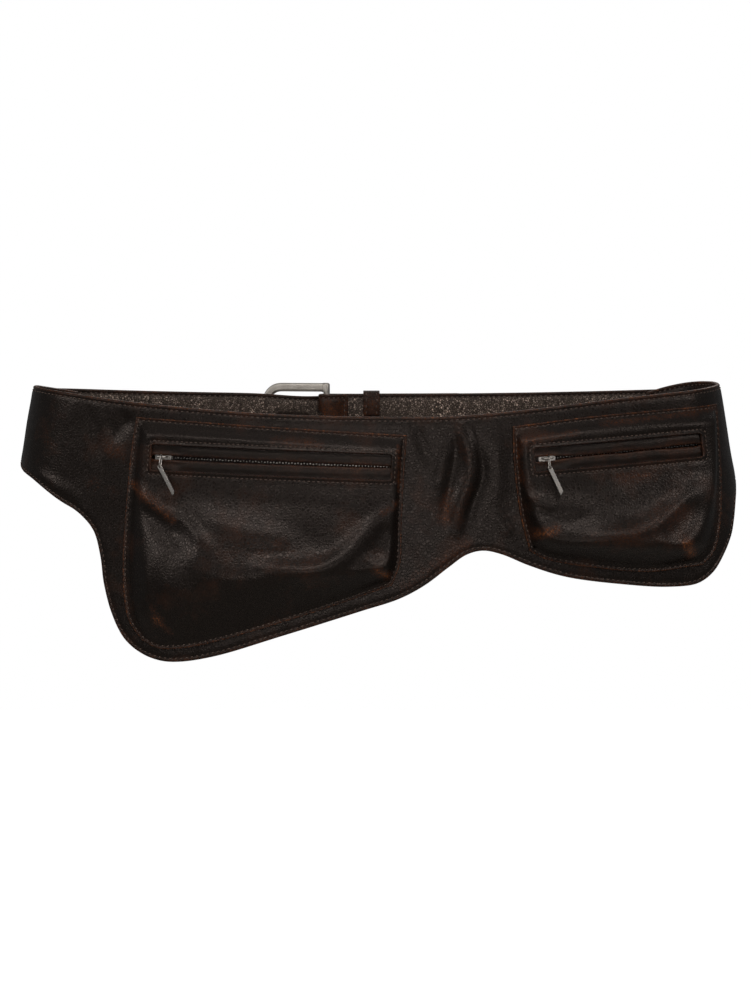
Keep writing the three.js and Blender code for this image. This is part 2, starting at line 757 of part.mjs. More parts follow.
// A long wire ring, seen edge on from the front
function buildPullRing() {
  const outline = new THREE.Path();
  outline.absarc(0, 0, ringRadius, 0, Math.PI, false);
  outline.absarc(0, -ringReach, ringRadius, Math.PI, 2 * Math.PI, false);
  outline.closePath();
  const stops = outline.getSpacedPoints(ringSteps).slice(0, -1);
  const wire = new THREE.CatmullRomCurve3(stops.map((stop) => new THREE.Vector3(0, stop.y, stop.x)), true);
  const ring = new THREE.TubeGeometry(wire, ringSteps, ringWire, wireSides, true);
  return weld(ring.translate(0, -ringDrop, 0));
}

function buildPullTab(length) {
  const outline = new THREE.Shape();
  outline.moveTo(bladeHalfWidth, -length + bladeHalfWidth / 2);
  outline.lineTo(eyeOuter, 0);
  outline.absarc(0, 0, eyeOuter, 0, Math.PI, false);
  outline.lineTo(-bladeHalfWidth, -length + bladeHalfWidth / 2);
  outline.lineTo(-bladeHalfWidth / 2, -length);
  outline.lineTo(bladeHalfWidth / 2, -length);
  outline.closePath();
  outline.holes.push(new THREE.Path().absarc(0, 0, eyeHole, 0, 2 * Math.PI, true));
  const blade = new THREE.ExtrudeGeometry(outline, {
    depth: bladeThickness,
    bevelEnabled: false,
    curveSegments: roundSides,
  });
  return weld(blade.translate(0, 0, -bladeThickness / 2));
}

// Straps
function strapTop(u) {
  const fromMiddle = Math.abs(loopLength / 2 - u);
  return strapTopMiddle + strapTopRise * (fromMiddle / strapRiseReach) ** 2;
}

function buildRibbon(route, shareAt) {
  const sections = route.map((here, index) => {
    const before = route[Math.max(index - 1, 0)];
    const after = route[Math.min(index + 1, route.length - 1)];
    const run = new THREE.Vector2(after.u - before.u, after.n - before.n).normalize();
    const half = strapThickness / 2;
    const middle = strapTop(here.u) - strapWidth / 2;
    const reach = (strapWidth / 2) * shareAt(here.u);
    const faces = [-half, half].map((offset) => [here.u - run.y * offset, here.n + run.x * offset]);
    const [low, high] = faces;
    return [
      onLoop(low[0], middle - reach, low[1]),
      onLoop(low[0], middle + reach, low[1]),
      onLoop(high[0], middle + reach, high[1]),
      onLoop(high[0], middle - reach, high[1]),
    ];
  });
  const flat = [
    new THREE.Vector2(0, 0),
    new THREE.Vector2(1, 0),
    new THREE.Vector2(1, 1),
    new THREE.Vector2(0, 1),
  ];
  return sweepSections(sections, flat);
}

function strapSlot(u, n, length, width) {
  const box = boxBetween([-length / 2, -width / 2, -cutterReach], [length / 2, width / 2, cutterReach]);
  return box.applyMatrix4(loopFrame(u, strapTop(u) - strapWidth / 2, n));
}

function buildTail() {
  const route = spacedStops(tailTip, tailStart, sweepStep).map((u) => ({
    u,
    n: strapLayer + readTable(tailRoute, 'u', 'out', u),
  }));
  const shareAt = (u) => {
    const inTip = THREE.MathUtils.clamp((tailTip + tailTipLength - u) / tailTipLength, 0, tailTipBluntness);
    return Math.sqrt(1 - inTip ** 2);
  };
  const holes = holeSteps.map((step) => {
    const u = prongSlotAt + step * holeSpacing;
    const punch = new THREE.CylinderGeometry(holeRadius, holeRadius, cutterReach, roundSides);
    const n = strapLayer + readTable(tailRoute, 'u', 'out', u);
    return weld(punch.rotateX(Math.PI / 2)).applyMatrix4(loopFrame(u, strapTop(u) - strapWidth / 2, n));
  });
  const slot = strapSlot(prongSlotAt, strapLayer, prongSlotLength, prongSlotWidth);
  return cutFrom(buildRibbon(route, shareAt), [slot, ...holes]);
}

function buildBuckleStrap() {
  const route = spacedStops(buckleStrapStart, barAt, sweepStep).map((u) => ({ u, n: strapLayer }));
  for (const turn of wrapTurns) {
    const angle = THREE.MathUtils.degToRad(turn);
    route.push({
      u: barAt + wrapRadius * Math.sin(angle),
      n: strapLayer - wrapRadius + wrapRadius * Math.cos(angle),
    });
  }
  for (const stop of returnRoute) {
    route.push({ u: barAt - stop.back, n: strapLayer + stop.out });
  }
  const slot = strapSlot(barAt, strapLayer - wrapRadius, 2 * chapeSlotHalf, chapeSlotWidth);
  return cutFrom(buildRibbon(route, () => 1), [slot]);
}

// Buckle: x runs from the strap's bar to the far bar, y up, z outward
function buckleFrame() {
  const middle = strapTop(barAt) - strapWidth / 2;
  const farOut = strapLayer + strapThickness / 2 + gap + frameTiltRoom + frameThickness / 2;
  const bar = onLoop(barAt, middle, strapLayer - wrapRadius);
  const along = onLoop(farBarAt, middle, farOut).sub(bar).normalize();
  const up = new THREE.Vector3(0, 0, 1);
  const out = new THREE.Vector3().crossVectors(along, up);
  return new THREE.Matrix4().makeBasis(along, up, out).setPosition(bar);
}

function buildBuckleFrame() {
  const far = farBarAt - barAt + farBarWidth / 2;
  const inside = strapWidth / 2 + frameSideGap;
  const outside = inside + frameRail;
  const low = [-barHalf, -outside];
  const outline = roundedOutline(new THREE.Shape(), low, [far, outside], frameBarCorner, frameFarCorner);
  const innerLow = [barHalf, -inside];
  const innerHigh = [far - farBarWidth, inside];
  const innerCorner = frameFarCorner - farBarWidth;
  outline.holes.push(roundedOutline(new THREE.Path(), innerLow, innerHigh, frameBevel, innerCorner));
  const depth = frameThickness - 2 * frameBevel;
  const frame = new THREE.ExtrudeGeometry(outline, {
    depth,
    bevelThickness: frameBevel,
    bevelSize: frameBevel,
    bevelOffset: -frameBevel,
    bevelSegments: 1,
    curveSegments: cornerSteps,
  });
  return weld(frame.translate(0, 0, -depth / 2));
}

function buildProng() {
  const far = farBarAt - barAt;
  const path = new THREE.CatmullRomCurve3([
    new THREE.Vector3(prongEyeRadius, 0, prongEyeWire / 2),
    new THREE.Vector3(far * prongRise.share, 0, prongOver * prongRise.height),
    new THREE.Vector3(far, 0, prongOver),
    new THREE.Vector3(far + prongTipReach, 0, prongOver - prongTipDrop),
  ]);
  const section = new THREE.Shape().absarc(0, 0, prongRadius, 0, 2 * Math.PI, false);
  const shaft = new THREE.ExtrudeGeometry(section, {
    steps: prongSteps,
    curveSegments: cornerSteps,
    extrudePath: path,
  });
  const eye = new THREE.TorusGeometry(prongEyeRadius, prongEyeWire, wireSides, wireSteps);
  eye.rotateX(Math.PI / 2);
  return joinAll([weld(shaft), weld(eye)]);
}

// Keeper: a leather loop round the strap and the tail
function buildKeeper() {
  const innerLow = -strapThickness / 2 - gap;
  const innerHigh = tailOut + strapThickness / 2 + gap;
  const half = strapWidth / 2 + gap;
  const outer = roundedOutline(
    new THREE.Shape(),
    [innerLow - keeperThickness, -half - keeperThickness],
    [innerHigh + keeperThickness, half + keeperThickness],
    keeperCorner,
    keeperCorner,
  );
  const hole = new THREE.Path();
  outer.holes.push(
    roundedOutline(hole, [innerLow, -half], [innerHigh, half], keeperInnerCorner, keeperInnerCorner),
  );
  const loop = new THREE.ExtrudeGeometry(outer, {
    depth: keeperLength,
    bevelEnabled: false,
    curveSegments: cornerSteps,
  });
  return weld(loop.translate(0, 0, -keeperLength / 2).rotateY(-Math.PI / 2));
}

function addPiece(parent, name, geometry, material) {
  const mesh = new THREE.Mesh(geometry, material);
  mesh.name = name;
  parent.add(mesh);
  return mesh;
}

function addGroup(parent, matrix) {
  const group = new THREE.Group();
  group.applyMatrix4(matrix);
  parent.add(group);
  return group;
}

const bag = new THREE.Group();
addPiece(bag, 'body_panel', buildPanel(), leather);

for (const pocket of pockets) {
  const { side, zip } = pocket;
  addPiece(bag, `${side}_pocket`, buildPocket(pocket), leather);
  addPiece(bag, `${side}_welt_upper`, buildWelt(zip, 1), weltLeather);
  addPiece(bag, `${side}_welt_lower`, buildWelt(zip, -1), weltLeather);
  addPiece(bag, `${side}_zip_chain`, buildZipChain(zip), zipTape);
  const zipGroup = addGroup(bag, loopFrame(zip.u, zip.z, panelFace, zip.tilt));
  addPiece(zipGroup, `${side}_slider`, buildSlider(), nickel);
  const puller = addGroup(zipGroup, new THREE.Matrix4().makeTranslation(0, 0, bridgeHeight));
  puller.rotation.x = -pullerLean;
  addPiece(puller, `${side}_pull_ring`, buildPullRing(), nickel);
  const tab = addPiece(puller, `${side}_pull_tab`, buildPullTab(pocket.bladeLength), nickel);
  tab.position.y = -ringDrop - ringReach - ringRadius;
  tab.rotation.z = THREE.MathUtils.degToRad(pocket.bladeTilt);
}

addPiece(bag, 'strap_tail', buildTail(), leather);
addPiece(bag, 'strap_buckle_end', buildBuckleStrap(), leather);
const keeperGroup = addGroup(bag, loopFrame(keeperAt, strapTop(keeperAt) - strapWidth / 2, strapLayer));
addPiece(keeperGroup, 'strap_keeper', buildKeeper(), leather);
const buckleGroup = addGroup(bag, buckleFrame());
addPiece(buckleGroup, 'buckle_frame', buildBuckleFrame(), antiqueSteel);
addPiece(buckleGroup, 'buckle_prong', buildProng(), antiqueSteel);

export default bag;
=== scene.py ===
import math

import bpy
import numpy as np
from mathutils import Matrix, Vector
from mathutils.bvhtree import BVHTree
from mathutils.geometry import delaunay_2d_cdt


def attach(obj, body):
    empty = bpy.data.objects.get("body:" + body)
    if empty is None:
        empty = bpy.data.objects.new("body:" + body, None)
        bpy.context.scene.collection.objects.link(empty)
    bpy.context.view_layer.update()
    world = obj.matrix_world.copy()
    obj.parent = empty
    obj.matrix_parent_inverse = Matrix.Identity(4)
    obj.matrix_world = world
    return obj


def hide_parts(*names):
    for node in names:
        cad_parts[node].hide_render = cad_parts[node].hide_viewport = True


# Looks of a leather belt bag. The tables are in millimetres on the bag's own surface: u runs round the
# loop from the middle of the front, + to the wearer's left, z is the height and n stands out of it.
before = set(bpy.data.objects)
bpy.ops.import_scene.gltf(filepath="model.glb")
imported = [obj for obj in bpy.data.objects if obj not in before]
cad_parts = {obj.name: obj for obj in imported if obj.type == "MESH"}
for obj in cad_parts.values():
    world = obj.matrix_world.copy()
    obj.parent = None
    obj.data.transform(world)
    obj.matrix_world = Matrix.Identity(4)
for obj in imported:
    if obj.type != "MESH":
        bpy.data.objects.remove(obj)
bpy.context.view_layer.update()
mm = 0.001
print("frame loaded with", len(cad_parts), "nodes")

loop = {
    "halfWidth": 177,
    "halfDepth": 62,
    "endRadius": 36,
    "flareFront": 0.06,  # outward spread for each mm below z = 0
    "flareSide": 0.172,
}
gap = 0.3
endCentre = loop["halfWidth"] - loop["endRadius"]
frontRadius = (endCentre ** 2 + loop["halfDepth"] ** 2 - loop["endRadius"] ** 2) / (
    2 * (loop["halfDepth"] - loop["endRadius"]))
frontAngle = math.atan2(endCentre, frontRadius - loop["halfDepth"])
frontHalfLength = frontRadius * frontAngle
endLength = loop["endRadius"] * (math.pi - 2 * frontAngle)
loopLength = 4 * frontHalfLength + 2 * endLength


def onLoop(u, z, n):
    u = u - np.round(u / loopLength) * loopLength
    distance = np.abs(u)
    front = distance <= frontHalfLength
    back = distance > frontHalfLength + endLength
    angle = frontAngle + (distance - frontHalfLength) / loop["endRadius"]
    angle = np.where(front, distance / frontRadius, angle)
    backAngle = math.pi - frontAngle + (distance - frontHalfLength - endLength) / frontRadius
    angle = np.where(back, backAngle, angle)
    radius = np.where(front | back, frontRadius, loop["endRadius"])
    centreX = np.where(front | back, 0, endCentre)
    centreY = np.where(front, frontRadius - loop["halfDepth"], 0)
    centreY = np.where(back, loop["halfDepth"] - frontRadius, centreY)
    facing = np.maximum(np.cos(angle), 0)
    flare = loop["flareSide"] * np.sin(angle) ** 2 + loop["flareFront"] * facing ** 2
    reach = radius - flare * z + n
    x = centreX + np.sin(angle) * reach
    return np.stack([np.where(u < 0, -x, x), centreY - np.cos(angle) * reach, z + 0 * x], axis=-1)


# Places are rows of (u, z)
def overLoop(places, n):
    return onLoop(places[:, 0], places[:, 1], n)


def loopFrame(u, z, n, tilt=0.0):
    stops = onLoop(np.array([u - 1, u + 1, u, u]), np.array([z, z, z - 1, z + 1]), n)
    along = Vector(stops[1] - stops[0]).normalized()
    up = Vector(stops[3] - stops[2])
    out = along.cross(up).normalized()
    along.rotate(Matrix.Rotation(math.radians(tilt), 3, out))
    up = out.cross(along)
    turn = Matrix((along, up, out)).transposed().to_4x4()
    return Matrix.Translation(Vector(onLoop(np.array(u), np.array(z), n))) @ turn


def smoothStep(value, low, high):
    share = np.clip((value - low) / (high - low), 0, 1)
    return share * share * (3 - 2 * share)


# Centripetal Catmull-Rom line through the points
def smoothPath(points, perSpan=16):
    p = np.array(points, float)
    p = np.vstack([2 * p[0] - p[1], p, 2 * p[-1] - p[-2]])
    share = np.linspace(0, 1, perSpan, endpoint=False)[:, None]
    pieces = []
    for i in range(1, len(p) - 2):
        a, b, c, d = p[i - 1:i + 3]
        before, here, after = [math.sqrt(np.linalg.norm(q)) for q in (b - a, c - b, d - c)]
        leave = ((b - a) / before - (c - a) / (before + here) + (c - b) / here) * here
        arrive = ((c - b) / here - (d - b) / (here + after) + (d - c) / after) * here
        square, cube = share ** 2, share ** 3
        pieces.append((2 * cube - 3 * square + 1) * b + (cube - 2 * square + share) * leave
                      + (3 * square - 2 * cube) * c + (cube - square) * arrive)
    return np.vstack(pieces + [p[-2:-1]])


def evenSteps(path, step):
    along = np.concatenate([[0], np.cumsum(np.linalg.norm(np.diff(path, axis=0), axis=1))])
    stops = np.linspace(0, along[-1], max(1, round(along[-1] / step)) + 1)
    return np.stack([np.interp(stops, along, column) for column in path.T], axis=1)


def closeLine(points):
    return np.vstack([points, points[:1]])


def closedOutline(edges, step):
    return closeLine(np.vstack([evenSteps(np.array(edge, float), step)[:-1] for edge in edges]))


# Distance from each place to a line of points, and how far along the line that is
def nearestOn(path, places):
    runs = np.diff(path, axis=0)
    lengths = np.linalg.norm(runs, axis=1)
    before = np.concatenate([[0], np.cumsum(lengths)[:-1]])
    away = np.empty(len(places))
    along = np.empty(len(places))
    batch = 3000  # places at a time, so that the arrays stay small
    for first in range(0, len(places), batch):
        part = slice(first, first + batch)
        offset = places[part, None] - path[None, :-1]
        share = np.clip((offset * runs).sum(-1) / lengths ** 2, 0, 1)
        square = ((offset - share[..., None] * runs) ** 2).sum(-1)
        best = square.argmin(1)
        row = np.arange(len(best))
        away[part] = np.sqrt(square[row, best])
        along[part] = before[best] + share[row, best] * lengths[best]
    return away, along


def isInside(path, places):
    crossings = np.zeros(len(places), int)
    for a, b in zip(path[:-1], path[1:]):
        if a[1] != b[1]:
            spans = (a[1] > places[:, 1]) != (b[1] > places[:, 1])
            reach = a[0] + (places[:, 1] - a[1]) / (b[1] - a[1]) * (b[0] - a[0])
            crossings += spans & (places[:, 0] < reach)
    return crossings % 2 == 1


# A closed line moved inwards; a negative distance moves it outwards
def insetPath(path, distance):
    points = path[:-1]
    runs = np.roll(points, -1, axis=0) - points
    area = (points[:, 0] * np.roll(points[:, 1], -1) - np.roll(points[:, 0], -1) * points[:, 1]).sum()
    normals = np.stack([-runs[:, 1], runs[:, 0]], axis=1) * math.copysign(1, area)
    normals /= np.linalg.norm(normals, axis=1)[:, None]
    before = np.roll(normals, 1, axis=0)
    mitre = (normals + before) / (1 + (normals * before).sum(1))[:, None]
    return closeLine(points + mitre * distance)


def straightOutline(low, high, step):
    corners = (low, (high[0], low[1]), high, (low[0], high[1]))
    return closedOutline([(corners[i], corners[(i + 1) % 4]) for i in range(4)], step)


# A rectangle with rounded corners: one radius at its low end in x, one at its high end
def roundedOutline(low, high, lowCorner, highCorner, steps=8):
    points = []
    for quarter, (sideX, sideY) in enumerate(((1, 1), (-1, 1), (-1, -1), (1, -1))):
        corner = highCorner if sideX > 0 else lowCorner
        inX = high[0] - corner if sideX > 0 else low[0] + corner
        inY = high[1] - corner if sideY > 0 else low[1] + corner
        for turn in np.linspace(0, math.pi / 2, steps + 1) + quarter * math.pi / 2:
            points.append((inX + corner * math.cos(turn), inY + corner * math.sin(turn)))
    return points


def circle(radius, count=32):
    turns = np.linspace(0, 2 * math.pi, count, endpoint=False)
    return [(radius * math.cos(turn), radius * math.sin(turn)) for turn in turns]


# Triangles over a flat shape, closer together at its rims
def fillShape(outline, holes, spacing, rings):
    rims = [outline] + holes
    points = []
    edges = []
    for rim in rims:
        first = len(points)
        count = len(rim) - 1
        points.extend(rim[:-1].tolist())
        edges.extend((first + i, first + (i + 1) % count) for i in range(count))

    def rimDistance(places):
        return np.min([nearestOn(rim, places)[0] for rim in rims], axis=0)

    def onLeather(places):
        kept = isInside(outline, places)
        for hole in holes:
            kept &= ~isInside(hole, places)
        return kept

    for ring in rings:
        moved = [insetPath(outline, ring)[:-1]] + [insetPath(hole, -ring)[:-1] for hole in holes]
        places = np.vstack(moved)
        kept = onLeather(places) & (rimDistance(places) > 0.9 * ring)  # none that crowd in a corner
        points.extend(places[kept].tolist())
    low, high = outline.min(0), outline.max(0)
    rows = np.arange(low[1], high[1], spacing * 0.87)  # close to triangles of equal sides
    columns = np.arange(low[0], high[0], spacing)
    across, up = np.meshgrid(columns, rows)
    across[1::2] += spacing / 2
    places = np.stack([across.ravel(), up.ravel()], axis=1)
    places = places[onLeather(places)]
    places = places[rimDistance(places) > rings[-1] + spacing * 0.45]  # clear of the last ring
    points.extend(places.tolist())
    filled = delaunay_2d_cdt([Vector(point) for point in points], edges, [], 1, 1e-5)
    places = np.array([vert[:] for vert in filled[0]])
    triangles = np.array(filled[2])
    middles = places[triangles].mean(1)
    return places, triangles[onLeather(middles)], rimDistance(places)


def vertexNormals(points, triangles):
    a, b, c = (points[triangles[:, i]] for i in range(3))
    faceNormals = np.cross(b - a, c - a)
    normals = np.zeros_like(points)
    for i in range(3):
        np.add.at(normals, triangles[:, i], faceNormals)
    return normals / np.linalg.norm(normals, axis=1)[:, None]


def linkObject(name, data):
    item = bpy.data.objects.new(name, data)
    bpy.context.scene.collection.objects.link(item)
    return item


def addPiece(mesh, name, body):
    piece = linkObject(name, mesh)
    mesh.shade_smooth()
    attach(piece, body)
    return piece


def paintPoints(mesh, name, values):
    mesh.attributes.new(name, "FLOAT", "POINT").data.foreach_set("value", values.astype(np.float32))


turnedEdge = {"from": 1.8, "to": 3}  # where the dyed edge turned over a strap's inner side ends and that side's painted sheen begins


# A wall of leather or cloth on its middle surface, rounded off at every rim. It gives the piece, and
# its outer and inner face to sew on.
def wallPiece(name, filled, middle, thickness, relief, wear, material, paintedSheen=0.0):
    places, triangles, rim = filled
    normals = vertexNormals(middle, triangles)
    roundOff = np.sqrt(1 - (1 - np.clip(rim / (thickness / 2), 0, 1)) ** 2)
    half = (thickness / 2 * roundOff)[:, None]
    outer = middle + normals * (half + relief[:, None])
    inner = middle - normals * (half + relief[:, None])
    onRim = rim < 1e-4
    innerIndex = np.where(onRim, np.arange(len(places)), 0)
    innerIndex[~onRim] = len(places) + np.arange((~onRim).sum())
    points = np.vstack([outer, inner[~onRim]])
    faces = np.vstack([triangles, innerIndex[triangles[:, ::-1]]])
    # Inner faces are painted paler by the given amount, as sheen, starting a little in from the rim
    sheenShare = paintedSheen * smoothStep(rim, turnedEdge["from"], turnedEdge["to"])
    mesh = bpy.data.meshes.new(name)
    mesh.from_pydata((points * mm).tolist(), [], faces.tolist())
    paintPoints(mesh, "wear", np.concatenate([wear, wear[~onRim]]))
    paintPoints(mesh, "paintedSheen", np.concatenate([0 * wear, sheenShare[~onRim]]))
    mesh.materials.append(material)
    piece = addPiece(mesh, name, "bag")
    faceTrees = [BVHTree.FromPolygons(side.tolist(), triangles.tolist()) for side in (outer, inner)]
    return piece, faceTrees


foldEnds = {"in": (-0.15, 0.3), "out": (0.7, 1.15)}  # shares of a fold's length over which it fades


# Soft ridges (height above 0) and valleys (below 0) along lines, fading out at their ends
def foldHeight(folds, places):
    ridge = np.zeros(len(places))
    valley = np.zeros(len(places))
    for fold in folds:
        path = np.array(fold["path"], float)
        if len(path) > 2:
            path = smoothPath(path, perSpan=6)
        away, along = nearestOn(path, places)
        length = np.linalg.norm(np.diff(path, axis=0), axis=1).sum()
        share = along / length
        fade = smoothStep(share, *foldEnds["in"]) * (1 - smoothStep(share, *foldEnds["out"]))
        height = fold["height"] * fade * np.exp(-(away / fold["width"]) ** 2)
        ridge = np.maximum(ridge, height)
        valley = np.minimum(valley, height)
    return ridge + valley


# Uneven lie of hand-cut leather: many weak waves of about one size, from -1 to 1
def looseness(places, size, seed):
    draw = np.random.default_rng(seed)
    waves = 14
    total = np.zeros(len(places))
    for _ in range(waves):
        heading = draw.uniform(0, 2 * math.pi)
        length = size * draw.uniform(0.7, 1.5)
        phase = draw.uniform(0, 2 * math.pi)
        reach = places[:, 0] * math.cos(heading) + places[:, 1] * math.sin(heading)
        total += np.sin(2 * math.pi * reach / length + phase)
    return 2 * total / waves


def rubbedPlaces(rubs, places):
    wear = np.zeros(len(places))
    for rub in rubs:
        path = np.array(rub["path"], float)
        away = nearestOn(path, places)[0] if len(path) > 1 else np.linalg.norm(places - path[0], axis=1)
        wear = np.maximum(wear, rub["amount"] * np.exp(-(away / rub["reach"]) ** 2))
    return wear


# Sewn line: the thread pulls the leather in, and the leather puckers beside it
seam = {"dip": 0.45, "reach": 0.8, "pucker": 0.1, "puckerReach": 3.2, "puckerLength": 7}


def seamRelief(fromSeam, along, seed):
    pull = -seam["dip"] * np.exp(-(fromSeam / seam["reach"]) ** 2)
    ripples = looseness(np.stack([along, 0 * along], axis=1), seam["puckerLength"], seed)
    return pull + seam["pucker"] * ripples * np.exp(-(fromSeam / seam["puckerReach"]) ** 2)


# Materials
def toLinear(colour):
    channels = [int(colour[i:i + 2], 16) / 255 for i in (1, 3, 5)]
    return [c / 12.92 if c <= 0.04045 else ((c + 0.055) / 1.055) ** 2.4 for c in channels] + [1]


# Each input is a value, a socket to link from, or a node whose first output is linked
def setInputs(tree, node, inputs):
    for key, value in inputs.items():
        if isinstance(value, bpy.types.Node):
            value = value.outputs[0]
        if isinstance(value, bpy.types.NodeSocket):
            tree.links.new(value, node.inputs[key])
        else:
            node.inputs[key].default_value = value


def addNode(tree, kind, settings=None, inputs=None):
    node = tree.nodes.new(kind)
    for key, value in (settings or {}).items():
        setattr(node, key, value)
    setInputs(tree, node, inputs or {})
    return node


def startMaterial(name):
    material = bpy.data.materials.new(name)
    material.use_nodes = True
    tree = material.node_tree
    tree.nodes.clear()
    shader = addNode(tree, "ShaderNodeBsdfPrincipled")
    addNode(tree, "ShaderNodeOutputMaterial", {}, {"Surface": shader})
    coords = addNode(tree, "ShaderNodeTexCoord").outputs["Object"]
    return material, tree, shader, coords


# Full-grain hide, dyed near black over brown, tumbled and rubbed by hand: a satin pebble grain that
# glints on its tops, and a warm brown that comes through where it rubs.
def rubbedLeather(name, look):
    material, tree, shader, coords = startMaterial(name)
    grain = look["grain"] * mm
    bend = addNode(tree, "ShaderNodeTexNoise", {}, {"Vector": coords, "Scale": 1 / (2.6 * grain)})
    shift = addNode(tree, "ShaderNodeVectorMath", {"operation": "MULTIPLY_ADD"}, {
        0: bend.outputs["Color"], 1: [grain] * 3, 2: coords})
    pebbles = addNode(tree, "ShaderNodeTexVoronoi", {"feature": "DISTANCE_TO_EDGE"}, {
        "Vector": shift, "Scale": 1 / grain})
    slope = addNode(tree, "ShaderNodeMapRange", {}, {
        "Value": pebbles.outputs["Distance"], "From Max": 0.42, "To Min": 1, "To Max": 0})
    dip = addNode(tree, "ShaderNodeMath", {"operation": "POWER"}, {0: slope, 1: 2})
    tops = addNode(tree, "ShaderNodeMath", {"operation": "SUBTRACT"}, {0: 1, 1: dip})
    cells = addNode(tree, "ShaderNodeTexVoronoi", {}, {"Vector": shift, "Scale": 1 / grain})
    # Each pebble gets its own strength of painted glint on its top
    paintedGlintPerPebble = addNode(tree, "ShaderNodeMapRange", {}, {
        "Value": cells.outputs["Color"], "From Min": 0.25, "From Max": 0.8, "To Min": 0.5, "To Max": 1})
    paintedGlint = addNode(tree, "ShaderNodeMath", {"operation": "MULTIPLY"}, {0: tops, 1: paintedGlintPerPebble})
    pores = addNode(tree, "ShaderNodeTexNoise", {}, {
        "Vector": coords, "Scale": 1 / (0.5 * grain), "Detail": 2})
    creases = addNode(tree, "ShaderNodeTexNoise", {}, {
        "Vector": coords, "Scale": 1 / (look["crease"] * mm), "Detail": 4, "Roughness": 0.6})
    height = addNode(tree, "ShaderNodeMath", {"operation": "MULTIPLY_ADD"}, {
        0: pores.outputs["Fac"], 1: 0.2, 2: tops})
    height = addNode(tree, "ShaderNodeMath", {"operation": "MULTIPLY_ADD"}, {
        0: creases.outputs["Fac"], 1: look["creaseDepth"], 2: height})
    facing = addNode(tree, "ShaderNodeNewGeometry").outputs["Normal"]
    lean = addNode(tree, "ShaderNodeVectorMath", {"operation": "MULTIPLY_ADD"}, {
        0: cells.outputs["Color"], 1: [look["pebbleLean"]] * 3, 2: [-look["pebbleLean"] / 2] * 3})
    leaning = addNode(tree, "ShaderNodeVectorMath", {"operation": "ADD"}, {0: facing, 1: lean})
    leaning = addNode(tree, "ShaderNodeVectorMath", {"operation": "NORMALIZE"}, {0: leaning})
    bump = addNode(tree, "ShaderNodeBump", {}, {
        "Height": height, "Distance": look["grainDepth"] * mm, "Normal": leaning})
    wear = addNode(tree, "ShaderNodeAttribute", {"attribute_name": "wear"})
    cloud = addNode(tree, "ShaderNodeTexNoise", {}, {
        "Vector": coords, "Scale": 1 / (look["cloud"] * mm), "Detail": 5, "Roughness": 0.65})
    patch = addNode(tree, "ShaderNodeMapRange", {}, {
        "Value": cloud.outputs["Fac"], "From Min": 0.45, "From Max": 0.72, "To Max": look["patch"]})
    broken = addNode(tree, "ShaderNodeTexNoise", {}, {
        "Vector": coords, "Scale": 1 / (look["break"] * mm), "Detail": 3, "Roughness": 0.7})
    share = addNode(tree, "ShaderNodeMapRange", {}, {
        "Value": broken.outputs["Fac"], "From Min": 0.36, "From Max": 0.62, "To Min": 0.3, "To Max": 1.2})
    high = addNode(tree, "ShaderNodeMapRange", {}, {"Value": tops, "To Min": 0.45})
    raised = addNode(tree, "ShaderNodeMath", {"operation": "MULTIPLY"}, {0: share, 1: high})
    rubbed = addNode(tree, "ShaderNodeMath", {"operation": "MULTIPLY_ADD"}, {
        0: wear.outputs["Fac"], 1: raised, 2: patch})
    colour = addNode(tree, "ShaderNodeValToRGB", {}, {"Fac": rubbed})
    ramp = colour.color_ramp
    ramp.elements[0].position = 0.08
    ramp.elements[0].color = toLinear(look["dye"])
    ramp.elements[1].position = 1
    ramp.elements[1].color = toLinear(look["bare"])
    ramp.elements.new(0.4).color = toLinear(look["rubbed"])
    # A strap's inner side is painted paler, in patches, as the sheen it catches
    paintedSheen = addNode(tree, "ShaderNodeAttribute", {"attribute_name": "paintedSheen"})
    sheenPatches = addNode(tree, "ShaderNodeMapRange", {}, {
        "Value": cloud.outputs["Fac"], "From Min": 0.3, "From Max": 0.65, "To Min": 0.45, "To Max": 1.1})
    sheenAmount = addNode(tree, "ShaderNodeMath", {"operation": "MULTIPLY", "use_clamp": True}, {
        0: paintedSheen.outputs["Fac"], 1: sheenPatches})
    sided = addNode(tree, "ShaderNodeMix", {"data_type": "RGBA"}, {
        "Factor": sheenAmount, 6: colour, 7: toLinear(look["paintedSheen"])})
    # The colour is painted darker in the grooves between pebbles, as shade, and lighter on their tops, as
    # glints
    paintedShadeAndGlint = addNode(tree, "ShaderNodeMapRange", {}, {
        "Value": paintedGlint, "To Min": look["paintedGrooveShade"], "To Max": look["paintedTopGlint"]})
    # On a strap's inner side the painted groove shade and top glints are made much stronger
    sheenContrast = addNode(tree, "ShaderNodeMath", {"operation": "MULTIPLY_ADD"}, {
        0: sheenAmount, 1: look["sheenGrainContrast"], 2: 1})
    paintedShadeAndGlint = addNode(tree, "ShaderNodeMath", {"operation": "POWER"}, {0: paintedShadeAndGlint, 1: sheenContrast})
    shaded = addNode(tree, "ShaderNodeVectorMath", {"operation": "SCALE"}, {
        0: sided.outputs[2], "Scale": paintedShadeAndGlint})
    gloss = addNode(tree, "ShaderNodeMapRange", {}, {
        "Value": tops, "To Min": look["roughLow"], "To Max": look["roughTop"]})
    setInputs(tree, shader, {
        "Base Color": shaded, "Roughness": gloss, "Normal": bump, "Specular IOR Level": look["shine"],
        "Specular Tint": toLinear(look["shineTint"])})
    return material


